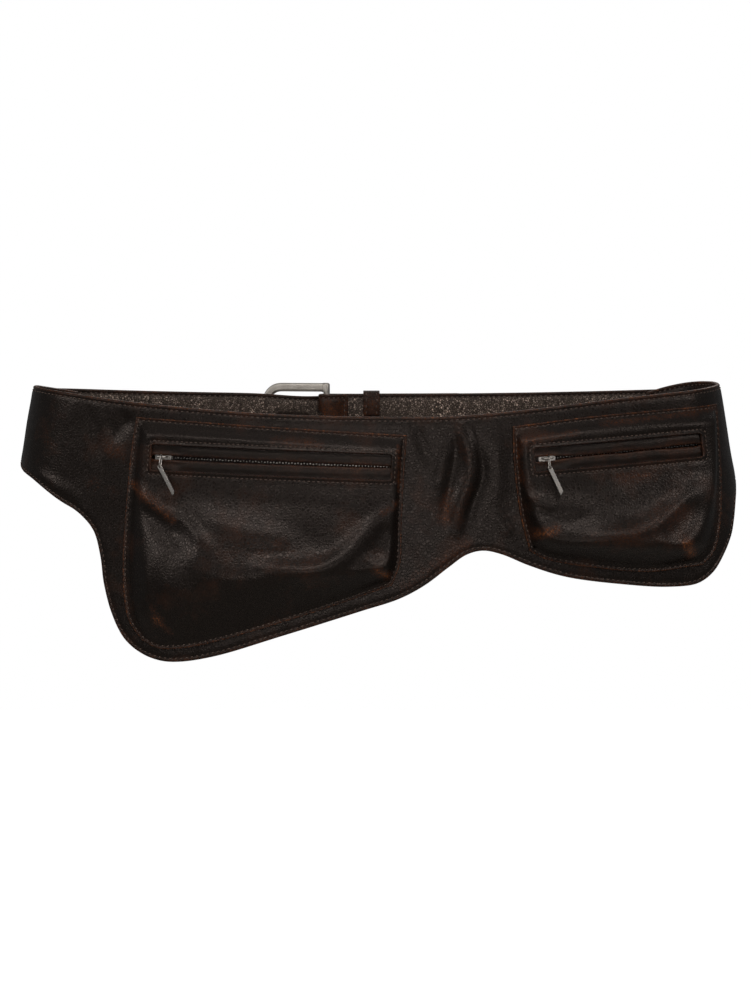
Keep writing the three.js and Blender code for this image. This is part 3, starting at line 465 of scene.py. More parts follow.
# The grain of such a hide is about 0.6 mm; it is drawn at 1.5 mm so that it shows in the picture. A strap's
# inner side is painted paler, in patches, as the sheen it catches, and the painted shade in its grooves and
# the painted glints on its tops are made much stronger.
leatherLook = {
    "dye": "#1d1815",
    "rubbed": "#472c1f",
    "bare": "#905830",
    "paintedSheen": "#a39489",
    "grain": 1.5,
    "grainDepth": 0.055,
    "pebbleLean": 0.06,
    "sheenGrainContrast": 5.5,
    "crease": 11,
    "creaseDepth": 1.4,
    "cloud": 24,
    "patch": 0.27,
    "break": 1.6,
    "roughTop": 0.24,
    "roughLow": 0.4,
    "shine": 0.36,
    "shineTint": "#fff3ee",
    # Factors on the colour: painted shade in the grain's grooves, painted glint on the pebble tops
    "paintedGrooveShade": 0.55,
    "paintedTopGlint": 1.25,
}
weltLook = {**leatherLook, "grain": 1.0, "roughTop": 0.28}  # pared thin, so finer and less glossy
strapLook = {**leatherLook, "grain": 1.0}  # pressed firm, so finer
leather = rubbedLeather("fullGrainLeatherRubbed", leatherLook)
weltLeather = rubbedLeather("skivedLeatherTurned", weltLook)
strapLeather = rubbedLeather("bridleLeatherRubbed", strapLook)


threadLook = {"dark": "#261d1a", "pale": "#7d6b61", "ply": 0.4, "plyDepth": 0.1, "rough": 0.32}


# Waxed bonded polyester thread: dark, slightly shiny, its plies showing as a fine break of dark and pale
def waxedThread(look):
    material, tree, shader, coords = startMaterial("waxedThreadTwisted")
    plies = addNode(tree, "ShaderNodeTexNoise", {}, {
        "Vector": coords, "Scale": 1 / (look["ply"] * mm), "Detail": 2})
    tone = addNode(tree, "ShaderNodeMix", {"data_type": "RGBA"}, {
        "Factor": plies.outputs["Fac"], 6: toLinear(look["dark"]), 7: toLinear(look["pale"])})
    bump = addNode(tree, "ShaderNodeBump", {}, {
        "Height": plies.outputs["Fac"], "Strength": 0.5, "Distance": look["plyDepth"] * mm})
    setInputs(tree, shader, {"Base Color": tone.outputs[2], "Roughness": look["rough"], "Normal": bump})
    return material


# A wave's bands come out at a third of the rib size given here, about 1 mm
tapeLook = {"dark": "#0e0b0a", "pale": "#1b1513", "rib": 3, "ribDepth": 0.2, "rough": 0.75}


# Woven polyester tape: matt black with a faint cross rib
def wovenTape(look):
    material, tree, shader, coords = startMaterial("polyesterTapeWoven")
    ribs = addNode(tree, "ShaderNodeTexWave", {"wave_type": "BANDS", "bands_direction": "X"}, {
        "Vector": coords, "Scale": 1 / (look["rib"] * mm), "Distortion": 0.6})
    bump = addNode(tree, "ShaderNodeBump", {}, {
        "Height": ribs.outputs["Fac"], "Strength": 0.5, "Distance": look["ribDepth"] * mm})
    tone = addNode(tree, "ShaderNodeMix", {"data_type": "RGBA"}, {
        "Factor": ribs.outputs["Fac"], 6: toLinear(look["dark"]), 7: toLinear(look["pale"])})
    setInputs(tree, shader, {"Base Color": tone.outputs[2], "Roughness": look["rough"], "Normal": bump})
    return material


# Die-cast metal, nickel plated or oxidised grey: handling scratches and a cloudy tone
def platedMetal(name, look):
    material, tree, shader, coords = startMaterial(name)
    cloud = addNode(tree, "ShaderNodeTexNoise", {}, {
        "Vector": coords, "Scale": 1 / (look["cloud"] * mm), "Detail": 6, "Roughness": 0.7})
    grit = addNode(tree, "ShaderNodeTexNoise", {}, {
        "Vector": coords, "Scale": 1 / (look["grit"] * mm), "Detail": 3})
    tone = addNode(tree, "ShaderNodeMix", {"data_type": "RGBA"}, {
        "Factor": cloud.outputs["Fac"], 6: toLinear(look["dark"]), 7: toLinear(look["bright"])})
    gloss = addNode(tree, "ShaderNodeMapRange", {}, {
        "Value": cloud.outputs["Fac"], "To Min": look["roughHigh"], "To Max": look["roughLow"]})
    bump = addNode(tree, "ShaderNodeBump", {}, {
        "Height": grit.outputs["Fac"], "Strength": look["gritStrength"], "Distance": look["gritDepth"] * mm})
    setInputs(tree, shader, {
        "Base Color": tone.outputs[2], "Metallic": 1, "Roughness": gloss, "Normal": bump})
    return material


nickelLook = {
    "dark": "#8f8c88",
    "bright": "#e6e5e2",
    "cloud": 3,
    "grit": 0.4,
    "gritStrength": 0.3,
    "gritDepth": 0.05,
    "roughHigh": 0.38,
    "roughLow": 0.2,
}
oxidisedLook = {
    "dark": "#b3b0a7",
    "bright": "#efeeea",
    "cloud": 4,
    "grit": 0.5,
    "gritStrength": 0.5,
    "gritDepth": 0.05,
    "roughHigh": 0.55,
    "roughLow": 0.36,
}
thread = waxedThread(threadLook)
tapeCloth = wovenTape(tapeLook)
nickel = platedMetal("zincDieCastNickelPlated", nickelLook)
oxidisedZinc = platedMetal("zincDieCastOxidised", oxidisedLook)
print("materials made")


# Copies of one small piece along lines, each turned to lie along its line and face out of the surface
def alongPathTree():
    tree = bpy.data.node_groups.new("alongPath", "GeometryNodeTree")
    sockets = {}
    for name, kind in (("Path", "Geometry"), ("Piece", "Object"), ("Pitch", "Float"), ("Slant", "Float"),
                       ("Finish", "Material")):
        sockets[name] = tree.interface.new_socket(name, in_out="INPUT", socket_type="NodeSocket" + kind)
    tree.interface.new_socket("Row", in_out="OUTPUT", socket_type="NodeSocketGeometry")
    start = addNode(tree, "NodeGroupInput").outputs
    line = addNode(tree, "GeometryNodeMeshToCurve", {}, {"Mesh": start["Path"]})
    stops = addNode(tree, "GeometryNodeResampleCurve", {"mode": "LENGTH"}, {
        "Curve": line, "Length": start["Pitch"]})
    tangent = addNode(tree, "GeometryNodeInputTangent")
    outward = addNode(tree, "GeometryNodeInputNamedAttribute", {"data_type": "FLOAT_VECTOR"}, {
        "Name": "outward"})
    along = addNode(tree, "FunctionNodeAlignRotationToVector", {"axis": "X"}, {"Vector": tangent})
    facing = addNode(tree, "FunctionNodeAlignRotationToVector", {"axis": "Z", "pivot_axis": "X"}, {
        "Rotation": along, "Vector": outward})
    slant = addNode(tree, "FunctionNodeAxisAngleToRotation", {}, {"Axis": (0, 0, 1), "Angle": start["Slant"]})
    turned = addNode(tree, "FunctionNodeRotateRotation", {"rotation_space": "LOCAL"}, {
        "Rotation": facing, "Rotate By": slant})
    piece = addNode(tree, "GeometryNodeObjectInfo", {}, {"Object": start["Piece"], "As Instance": True})
    row = addNode(tree, "GeometryNodeInstanceOnPoints", {}, {
        "Points": stops, "Instance": piece.outputs["Geometry"], "Rotation": turned})
    real = addNode(tree, "GeometryNodeRealizeInstances", {}, {"Geometry": row})
    finished = addNode(tree, "GeometryNodeSetMaterial", {}, {
        "Geometry": real, "Material": start["Finish"]})
    addNode(tree, "NodeGroupOutput", {}, {"Row": finished})
    return tree, {name: socket.identifier for name, socket in sockets.items()}


rowTree, rowInputs = alongPathTree()


def toMesh(item, name):
    bpy.context.view_layer.update()
    made = item.evaluated_get(bpy.context.evaluated_depsgraph_get())
    mesh = bpy.data.meshes.new_from_object(made)
    mesh.name = name
    bpy.data.objects.remove(item)
    return mesh


# Lines is a list of (points, outward directions), in millimetres
def rowPiece(name, lines, small, pitch, slant, material, body):
    points = np.vstack([line[0] for line in lines])
    outward = np.vstack([line[1] for line in lines])
    edges = []
    first = 0
    for line in lines:
        edges.extend((first + i, first + i + 1) for i in range(len(line[0]) - 1))
        first += len(line[0])
    mesh = bpy.data.meshes.new(name)
    mesh.from_pydata((points * mm).tolist(), edges, [])
    mesh.attributes.new("outward", "FLOAT_VECTOR", "POINT").data.foreach_set(
        "vector", outward.astype(np.float32).ravel())
    carrier = linkObject(name, mesh)
    modifier = carrier.modifiers.new("alongPath", "NODES")
    modifier.node_group = rowTree
    for key, value in (("Piece", small), ("Pitch", pitch * mm), ("Slant", slant), ("Finish", material)):
        modifier[rowInputs[key]] = value
    row = toMesh(carrier, name)
    return addPiece(row, name, body)


# One stitch: a thread that comes out of its hole, arches over the leather and goes down again
stitch = {
    "pitch": 2.8,
    "windowPitch": 2.4,
    "lineStep": 1,  # between the points of a sewn line
    "length": 1.5,
    "radius": 0.3,
    "arch": 0.2,
    "sides": 7,
    "sections": (-1, -0.86, -0.5, 0, 0.5, 0.86, 1),  # shares of its half length
    "endThinning": 0.6,
    "endDive": 2.6,
    "sunk": 0.08,
    "slant": 6,
}


def smallPiece(name, rings):
    sides = len(rings[0])
    mesh = bpy.data.meshes.new(name)
    last = (len(rings) - 1) * sides
    faces = []
    for low in range(0, last, sides):
        high = low + sides
        for turn in range(sides):
            after = (turn + 1) % sides
            faces.append([low + turn, low + after, high + after, high + turn])
    faces.append(list(range(sides))[::-1])
    faces.append(list(range(last, last + sides)))
    mesh.from_pydata((np.vstack(rings) * mm).tolist(), [], faces)
    mesh.shade_smooth()
    return bpy.data.objects.new(name, mesh)


def stitchRings():
    turns = np.linspace(0, 2 * math.pi, stitch["sides"], endpoint=False)
    rings = []
    for share in stitch["sections"]:
        thick = stitch["radius"] * (1 - stitch["endThinning"] * share ** 4)
        lift = stitch["arch"] * (1 - stitch["endDive"] * share ** 4)
        rings.append(np.stack([0 * turns + share * stitch["length"] / 2, thick * np.cos(turns),
                               thick * np.sin(turns) + lift], axis=1))
    return rings


oneStitch = smallPiece("stitch", stitchRings())


# A line of stitches set down on the nearest place of a sewn face
def sewnLine(tree, points, side):
    spots = []
    facing = []
    for point in points:
        spot, normal, _, _ = tree.find_nearest(Vector(point))
        spots.append(spot)
        facing.append(normal * side)
    spots = np.array([spot[:] for spot in spots])
    facing = np.array([normal[:] for normal in facing])
    return spots - facing * stitch["sunk"], facing


def sewnPiece(name, lines, pitch=stitch["pitch"]):
    rowPiece(name, lines, oneStitch, pitch, math.radians(stitch["slant"]), thread, "bag")


# Front panel
panel = {
    "thickness": 2.6,
    "spacing": 1.6,
    "rings": (0.06, 0.25, 0.6, 1.05, 1.5, 2.0, 2.6, 3.4),
    "seamInset": 2.0,
    "edgeStep": 1.8,
    "top": ((-240, -5.2), (-222, -2.3), (-206, -0.4), (-190, -0.3), (-170, -1.2), (-135, -5.2), (-95, -8.7),
            (-50, -11.4), (10, -12.6), (40, -12.2), (80, -9), (120, -4.8), (160, -1.4), (185, 0.4),
            (215, 1.2), (232, 0), (244, -2.4), (256, -6)),
    "bottom": ((-240, -33.2), (-214, -37), (-194.7, -42.7), (-179, -47.6), (-162.6, -57.8), (-152.3, -64.1),
               (-145.2, -72), (-141.5, -83.6), (-139, -98.7), (-134.4, -113.8), (-127.5, -126.3),
               (-118.2, -133.5), (-108.3, -136.8), (-98, -137), (-80, -133.6), (-47.8, -123.3),
               (-8.2, -110.4), (11.5, -103.9), (24, -97.2), (36, -88.2), (45, -82), (53, -80.1), (62, -81.9),
               (76.5, -88), (95, -94), (125, -98.6), (150, -100.7), (163.1, -99.6), (170.4, -94.4),
               (177, -85.3), (183, -75), (189, -63.5), (197, -51.5), (214, -41.5), (236, -36.4),
               (256, -34.6)),
    "folds": (
        {"path": ((41, -15), (46, -28), (47.2, -38), (45, -47), (41.4, -57), (39, -70)),
         "width": 3.2, "height": 2.4},
        {"path": ((50, -24), (53.2, -43), (48, -57), (44.5, -72)), "width": 3, "height": -1.7},
        {"path": ((40, -22), (36.5, -48), (33.5, -64)), "width": 3.2, "height": -1.5},
        {"path": ((36, -26), (30, -50)), "width": 3, "height": 1.2},
        {"path": ((19.6, -17), (26, -36)), "width": 3, "height": -0.9},
        {"path": ((60.5, -20), (60, -58)), "width": 4, "height": 0.9},
        {"path": ((58.5, -60), (67, -73)), "width": 2.6, "height": 0.9},
        {"path": ((-125, -12), (-139, -26)), "width": 5, "height": -1.5},
        {"path": ((-149, -9), (-142, -36)), "width": 4, "height": -0.7},
        {"path": ((-179, -42), (-154, -55)), "width": 2.6, "height": 0.8},
    ),
    "rubs": (
        {"path": ((41, -18), (47, -38), (40, -66)), "reach": 2.4, "amount": 0.22},
        {"path": ((36, -52), (34, -63)), "reach": 3.5, "amount": 0.5},
        {"path": ((14, -98), (31, -86), (46, -76)), "reach": 3.5, "amount": 0.35},
        {"path": ((-170.9, -27.6),), "reach": 5, "amount": 0.25},
        {"path": ((-135, -30.6),), "reach": 5, "amount": 0.3},
        {"path": ((-145.6, -48),), "reach": 6, "amount": 0.25},
    ),
    "edgeWear": 0.8,
    "edgeWearReach": 1,
    "loose": 0.28,
    "looseSize": 30,
    "looseSeed": 3,
    "seamSeed": 5,
}
panelFace = panel["thickness"] / 2


def buildPanel():
    top = smoothPath(panel["top"])
    bottom = smoothPath(panel["bottom"])[::-1]
    rightEnd = np.array([top[-1], bottom[0]])
    leftEnd = np.array([bottom[-1], top[0]])
    outline = closedOutline([top, rightEnd, bottom, leftEnd], panel["edgeStep"])
    filled = fillShape(outline, [], panel["spacing"], panel["rings"])
    places, _, rim = filled
    along = nearestOn(outline, places)[1]
    n = panel["loose"] * looseness(places, panel["looseSize"], panel["looseSeed"])
    n += foldHeight(panel["folds"], places)
    middle = overLoop(places, n)
    relief = seamRelief(rim - panel["seamInset"], along, panel["seamSeed"])
    wear = panel["edgeWear"] * np.exp(-rim / panel["edgeWearReach"])
    wear = np.maximum(wear, rubbedPlaces(panel["rubs"], places))
    piece, faceTrees = wallPiece(
        "panel_leather", filled, middle, panel["thickness"], relief, wear, leather)
    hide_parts("body_panel")
    sewn = evenSteps(insetPath(outline, panel["seamInset"]), stitch["lineStep"])
    lines = []
    for tree, side in zip(faceTrees, (1, -1)):
        spots = overLoop(sewn, side * panelFace)
        lines.append(sewnLine(tree, spots, side))
    sewnPiece("panel_stitching", lines)


buildPanel()
print("panel made")

# Pockets. The profile says, across the pocket, how far the bottom fold stands above the lower edge, how
# deep the pocket is there and which share of that bulges at mid-height; the rest sags to the fold.
# Crisp is how sharply its faces meet.
pocketBuild = {
    "thickness": 1.2,
    "spacing": 1.15,
    "rings": (0.05, 0.2, 0.45, 0.8, 1.3, 1.9, 2.6),
    "edgeStep": 1.4,
    "seamInset": 1.4,
    "windowStep": 1.2,
    "windowSeam": 2.1,
    "windowCorner": 0.5,
    "topFlange": 1.8,
    "topRise": 9,
    "zipHeight": 5.2,
    "zipLow": 27,
    "sag": 1.5,
    "windowBead": 0.25,  # the turned edge round the zip's opening
    "windowBeadAt": 0.55,
    "windowBeadReach": 0.4,
    "bottomFlange": 3,
    "foldFade": 10,
    "edgeWear": 1,
    "windowWear": 0.4,
    "edgeWearReach": 0.7,
    "loose": 0.5,
    "looseSize": 24,
    "looseSeed": 11,
    "seamSeed": 21,
    "windowSeamSeed": 22,
}
pockets = {
    "left": {
        "top": ((-122.6, -13.6), (15.1, -21.6)),
        "right": ((15.1, -21.6), (13.8, -38.5), (12.3, -68), (11.5, -86), (7.5, -97)),
        "bottom": ((-117.5, -126.4), (-109.6, -130.1), (-99.8, -130.1), (-85.1, -127.5), (-31.7, -110.9),
                   (7.5, -97)),
        "left": ((-122.6, -13.6), (-125.2, -32.9), (-128.3, -82), (-127.5, -103), (-124.5, -117),
                 (-117.5, -126.4)),
        "leftFlange": 3.5,
        "leftSlope": 1,
        "rightFlange": 2,
        "rightSlope": 2.2,
        "profile": {
            "across": (0, 0.3, 0.6, 1),
            "foldReach": (18, 31, 22, 9),
            "depth": (12, 18, 17, 11),
            "crisp": (3, 5, 15, 24),
            "bulge": (1, 1, 0.45, 0),
        },
        "topFolds": (
            {"path": ((-118, -18), (-60, -21.2), (6, -25)), "width": 1.4, "height": 0.7},
            {"path": ((-112, -21.6), (-70, -24), (-30, -26.3)), "width": 1.3, "height": 0.5},
        ),
        "folds": (
            {"path": ((12, -54), (3, -61), (-5, -69), (-15, -80), (-28, -87), (-58, -87)),
             "width": 4.5, "height": 3},
            {"path": ((7, -65), (3, -75), (-2, -85)), "width": 6.5, "height": -3},
            {"path": ((-107, -114), (-111, -100), (-112, -86)), "width": 2.6, "height": 1.2},
            {"path": ((-125, -46), (-108, -58), (-92, -65), (-82, -76)), "width": 3.4, "height": 2.2},
            {"path": ((-120, -57), (-106, -68), (-92, -76)), "width": 5, "height": -2.4},
            {"path": ((-108, -53), (-72, -66), (-40, -72)), "width": 5, "height": 1.4},
            {"path": ((-70, -52), (-30, -54), (-4, -48)), "width": 6, "height": -1},
            {"path": ((-62, -78), (-40, -80)), "width": 5, "height": -1},
            {"path": ((-107.5, -116), (-112.5, -123)), "width": 1, "height": -1.4},
            {"path": ((-99, -120), (-87, -111), (-77, -104)), "width": 2.5, "height": -1},
        ),
        "rubs": (
            {"path": ((-107.3, -115),), "reach": 3, "amount": 0.95},
            {"path": ((-107.3, -115), (-102, -121)), "reach": 1.8, "amount": 0.55},
            {"path": ((-107.3, -115), (-109, -108)), "reach": 1.5, "amount": 0.5},
            {"path": ((0, -88.5), (5, -91.2)), "reach": 2, "amount": 0.9},
            {"path": ((-51, -24.3), (-27, -26.2)), "reach": 2.2, "amount": 0.42},
            {"path": ((-123, -47.5), (-109, -57.5), (-100, -64)), "reach": 2.6, "amount": 0.62},
            {"path": ((10, -55), (3, -60)), "reach": 1.8, "amount": 0.5},
            {"path": ((10.4, -27.7), (10.8, -49.7)), "reach": 1.2, "amount": 0.75},
            {"path": ((-35, -84), (-60, -76)), "reach": 10, "amount": 0.2},
        ),
        "zip": {"u": -107.2, "z": -33.5, "tilt": -1.95, "start": -5.3, "end": 114.2, "windowHalf": 6.3},
        "lips": {
            "at": (-7, -4.6, 0, 12, 60, 100, 113, 115),
            "half": (0.2, 1.2, 1.2, 1.1, 0.95, 0.65, 0.4, 0.15),
        },
        "bladeLength": 17,
        "bladeTilt": 34,
        "bladeTwist": -22,
    },
    "right": {
        "top": ((68.4, -17.5), (107, -13.3), (138.4, -10.9), (181, -8.5)),
        "right": ((181, -8.5), (178.5, -43.8), (174.8, -69.6), (170.5, -83.5), (165, -89.9)),
        "bottom": ((76.3, -80.3), (83.4, -84.3), (109.5, -89.5), (140, -92.4), (165, -89.9)),
        "left": ((68.4, -17.5), (68.6, -33.8), (71.7, -61.8), (76.3, -80.3)),
        "leftFlange": 2,
        "leftSlope": 2,
        "rightFlange": 3.5,
        "rightSlope": 1.1,
        "profile": {
            "across": (0, 0.35, 0.65, 1),
            "foldReach": (9, 13, 15, 9),
            "depth": (11, 14, 15, 13),
            "crisp": (18, 16, 14, 8),
            "bulge": (0.6, 0.5, 0.3, 0.2),
        },
        "topFolds": (
            {"path": ((72, -24), (110, -19), (142, -17), (172, -15.4)), "width": 1.5, "height": 0.8},
            {"path": ((112, -16.6), (152, -13.7), (176, -12.4)), "width": 1.2, "height": 0.7},
            {"path": ((74, -21.5), (104, -17.4)), "width": 1.2, "height": 0.4},
        ),
        "folds": (
            {"path": ((100, -74), (118, -71), (134, -67.5), (148, -58), (168, -47)),
             "width": 4.5, "height": 2.4},
            {"path": ((112, -62), (132, -57), (150, -50)), "width": 6, "height": -1.6},
            {"path": ((140, -79), (156, -66), (168, -58)), "width": 6, "height": -1.4},
            {"path": ((72, -51), (88, -58.5)), "width": 2.6, "height": 1.6},
            {"path": ((74, -57), (92, -64), (106, -62)), "width": 4, "height": -1.5},
            {"path": ((79.7, -72.3), (76, -79)), "width": 1.2, "height": -1},
            {"path": ((157.9, -83), (162.2, -88)), "width": 1.2, "height": -1},
        ),
        "rubs": (
            {"path": ((79.5, -71), (87, -69)), "reach": 2.8, "amount": 0.85},
            {"path": ((158, -83.4), (152.5, -77.5)), "reach": 2.6, "amount": 0.85},
            {"path": ((114, -17.4), (152, -13.6), (178, -10)), "reach": 1.6, "amount": 0.5},
            {"path": ((73, -25), (100, -21)), "reach": 1.8, "amount": 0.45},
            {"path": ((121, -44), (138, -43)), "reach": 3, "amount": 0.35},
            {"path": ((104, -74), (134, -68), (150, -60)), "reach": 6, "amount": 0.25},
            {"path": ((70, -28), (72, -44)), "reach": 2, "amount": 0.5},
        ),
        "zip": {"u": 85, "z": -33.76, "tilt": 3.88, "start": -6.8, "end": 79.6, "windowHalf": 5.8},
        "lips": {
            "at": (-8, -5.6, 2, 8, 16, 34, 40, 48, 60, 66, 77, 80),
            "half": (0.2, 1.2, 1.3, 0.8, 0.3, 0.3, 0.7, 0.25, 0.3, 0.8, 0.8, 0.15),
        },
        "bladeLength": 15,
        "bladeTilt": 17,
        "bladeTwist": -4,
    },
}


def zipPlaces(line, along, across):
    cos, sin = math.cos(math.radians(line["tilt"])), math.sin(math.radians(line["tilt"]))
    u = line["u"] + along * cos - across * sin
    z = line["z"] + along * sin + across * cos
    return np.stack([u, z], axis=-1)


def windowOutline(line):
    low = (line["start"], -line["windowHalf"])
    high = (line["end"], line["windowHalf"])
    corner = pocketBuild["windowCorner"]
    flat = closeLine(np.array(roundedOutline(low, high, corner, corner, steps=4)))
    flat = evenSteps(flat, pocketBuild["windowStep"])
    return zipPlaces(line, flat[:, 0], flat[:, 1])


def pocketSwell(pocket, paths, places):
    build = pocketBuild
    fromTop, fromRight, fromBottom, fromLeft = [
        nearestOn(paths[edge], places)[0] for edge in ("top", "right", "bottom", "left")]
    leftU = np.interp(-places[:, 1], -paths["left"][:, 1], paths["left"][:, 0])
    rightU = np.interp(-places[:, 1], -paths["right"][:, 1], paths["right"][:, 0])
    across = np.clip((places[:, 0] - leftU) / (rightU - leftU), 0, 1)
    profile = pocket["profile"]
    reach = np.interp(across, profile["across"], profile["foldReach"])
    depth = np.interp(across, profile["across"], profile["depth"])
    foldDistance = fromTop + fromBottom - reach
    rise = smoothStep(fromTop, build["topFlange"], build["topRise"])
    low = np.clip((fromTop - build["zipLow"]) / (foldDistance - build["zipLow"]), 0, 1)
    bulge = np.interp(across, profile["across"], profile["bulge"])
    hang = bulge * smoothStep(low, 0, 1) + (1 - bulge) * low ** build["sag"]
    face = build["zipHeight"] * rise + (depth - build["zipHeight"]) * hang
    slopes = np.stack([
        face,
        depth * (fromBottom - build["bottomFlange"]) / (reach - build["bottomFlange"]),
        pocket["leftSlope"] * (fromLeft - pocket["leftFlange"]),
        pocket["rightSlope"] * (fromRight - pocket["rightFlange"]),
    ])
    lowest = np.maximum(slopes.min(0), 1e-6)
    ratios = np.maximum(slopes / lowest, 1)
    crisp = np.interp(across, profile["across"], profile["crisp"])
    swell = lowest * (ratios ** -crisp).sum(0) ** (-1 / crisp)
    swell = np.where(slopes.min(0) <= 0, 0, swell)
    belowZip = smoothStep(fromTop, build["zipLow"], build["zipLow"] + build["foldFade"])
    loose = belowZip * np.minimum(1, swell / depth)
    uneven = build["loose"] * looseness(places, build["looseSize"], build["looseSeed"])
    above = (1 - belowZip) * np.minimum(1, swell)
    lowFolds = loose * (foldHeight(pocket["folds"], places) + uneven)
    return swell + lowFolds + above * foldHeight(pocket["topFolds"], places)


def buildPocket(side, pocket):
    build = pocketBuild
    paths = {edge: smoothPath(pocket[edge]) for edge in ("top", "right", "bottom", "left")}
    edges = [paths["top"], paths["right"], paths["bottom"][::-1], paths["left"][::-1]]
    outline = closedOutline(edges, build["edgeStep"])
    window = windowOutline(pocket["zip"])
    filled = fillShape(outline, [window], build["spacing"], build["rings"])
    places = filled[0]
    swell = pocketSwell(pocket, paths, places)
    middle = overLoop(places, panelFace + gap + build["thickness"] / 2 + swell)
    fromOutline, along = nearestOn(outline, places)
    fromWindow, windowAlong = nearestOn(window, places)
    relief = seamRelief(fromOutline - build["seamInset"], along, build["seamSeed"])
    relief += seamRelief(fromWindow - build["windowSeam"], windowAlong, build["windowSeamSeed"])
    fromBead = (fromWindow - build["windowBeadAt"]) / build["windowBeadReach"]
    relief += build["windowBead"] * np.exp(-fromBead ** 2)
    wear = build["edgeWear"] * np.exp(-fromOutline / build["edgeWearReach"])
    wear = np.maximum(wear, build["windowWear"] * np.exp(-fromWindow / build["edgeWearReach"]))
    wear = np.maximum(wear, rubbedPlaces(pocket["rubs"], places))
    name = side + "_pocket"
    piece, faceTrees = wallPiece(
        name + "_leather", filled, middle, build["thickness"], relief, wear, leather)
    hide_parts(name)
    flangeFace = panelFace + gap + build["thickness"]
    edgeSeam = evenSteps(insetPath(outline, build["seamInset"]), stitch["lineStep"])
    windowSeam = evenSteps(insetPath(window, -build["windowSeam"]), stitch["lineStep"])
    for seamPath, height, part, pitch in (
            (edgeSeam, flangeFace, "_stitching", stitch["pitch"]),
            (windowSeam, flangeFace + build["zipHeight"], "_window_stitching", stitch["windowPitch"])):
        spots = overLoop(seamPath, height)
        sewnPiece(name + part, [sewnLine(faceTrees[0], spots, 1)], pitch)


for side, pocket in pockets.items():
    buildPocket(side, pocket)
print("pockets made")

# Zips: two turned leather lips over a tape and its teeth
zipBuild = {
    "weltFloor": 4.1,
    "weltThickness": 1,
    "weltReach": 7.5,
    "weltSpacing": 1,
    "weltRings": (0.05, 0.18, 0.35, 0.5, 0.8, 1.2),
    "endLap": 1.2,
    "lipPuff": 0.8,  # each lip is turned leather and swells between its edge and the opening
    "lipPuffReach": 4.6,
    "lipPuffFrom": 6,  # it starts to swell here, clear of the slider
    "lipPuffFull": 14,
    "lipLoose": 0.06,
    "lipLooseSize": 9,
    "lipLooseSeed": 31,
    "lipRoll": 0.5,  # the turned edge stands up like a cord
    "lipRollReach": 0.65,
    "lipSink": 0.7,
    "lipSinkReach": 5.5,
    "lipWear": 0.6,
    "lipWearReach": 1.2,
    "tapeMiddle": 2,
    "tapeThickness": 0.6,
    "tapeHalf": 6,
    "tapeEdge": 0.8,
    "tapeStep": 1.2,
    "tapeSpacing": 1.5,
    "tapeRings": (0.1, 0.3),
    "toothPitch": 3,
    "toothSize": (0.75, 0.8, 1.1),
    "toothSections": ((-1, 0.7), (-0.7, 1), (0.7, 1), (1, 0.7)),  # shares of half its length, of its girth
    "toothOffset": 0.12,
    "toothMargin": 1,  # clear of the tape's end
    "wedgeEnd": -3.2,
}


def buildWelts(side, pocket):
    build = zipBuild
    line = pocket["zip"]
    step = build["weltSpacing"]
    stops = np.arange(line["start"] - build["endLap"], line["end"] + build["endLap"] + step / 2, step)
    lipHalf = np.interp(stops, pocket["lips"]["at"], pocket["lips"]["half"])
    for level, way in (("upper", 1), ("lower", -1)):
        lip = np.stack([stops, way * lipHalf], axis=1)
        hidden = np.array([[stops[-1], way * build["weltReach"]], [stops[0], way * build["weltReach"]]])
        edges = [lip, np.array([lip[-1], hidden[0]]), hidden, np.array([hidden[1], lip[0]])]
        if way < 0:  # mirrored, so it is followed the other way round
            edges = [edge[::-1] for edge in edges[::-1]]
        outline = closedOutline(edges, build["weltSpacing"])
        filled = fillShape(outline, [], build["weltSpacing"], build["weltRings"])
        flat, _, rim = filled
        fromLip = np.abs(flat[:, 1]) - np.interp(flat[:, 0], stops, lipHalf)
        roll = build["lipRoll"] * np.exp(-((fromLip - build["lipRollReach"]) / build["lipRollReach"]) ** 2)
        places = zipPlaces(line, flat[:, 0], flat[:, 1])
        uneven = build["lipLoose"] * looseness(flat, build["lipLooseSize"], build["lipLooseSeed"])
        sunk = build["lipSink"] * (1 - smoothStep(fromLip, 0, build["lipSinkReach"]))
        puff = build["lipPuff"] * np.sin(math.pi * np.clip(fromLip / build["lipPuffReach"], 0, 1))
        puff *= smoothStep(flat[:, 0], build["lipPuffFrom"], build["lipPuffFull"])
        height = panelFace + build["weltFloor"] + build["weltThickness"] / 2 + roll + puff + uneven - sunk
        middle = overLoop(places, height)
        wear = build["lipWear"] * np.exp(-np.maximum(fromLip, 0) / build["lipWearReach"])
        piece, _ = wallPiece(f"{side}_welt_{level}_leather", filled, middle, build["weltThickness"],
                             0 * rim, wear, weltLeather)
        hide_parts(f"{side}_welt_{level}")


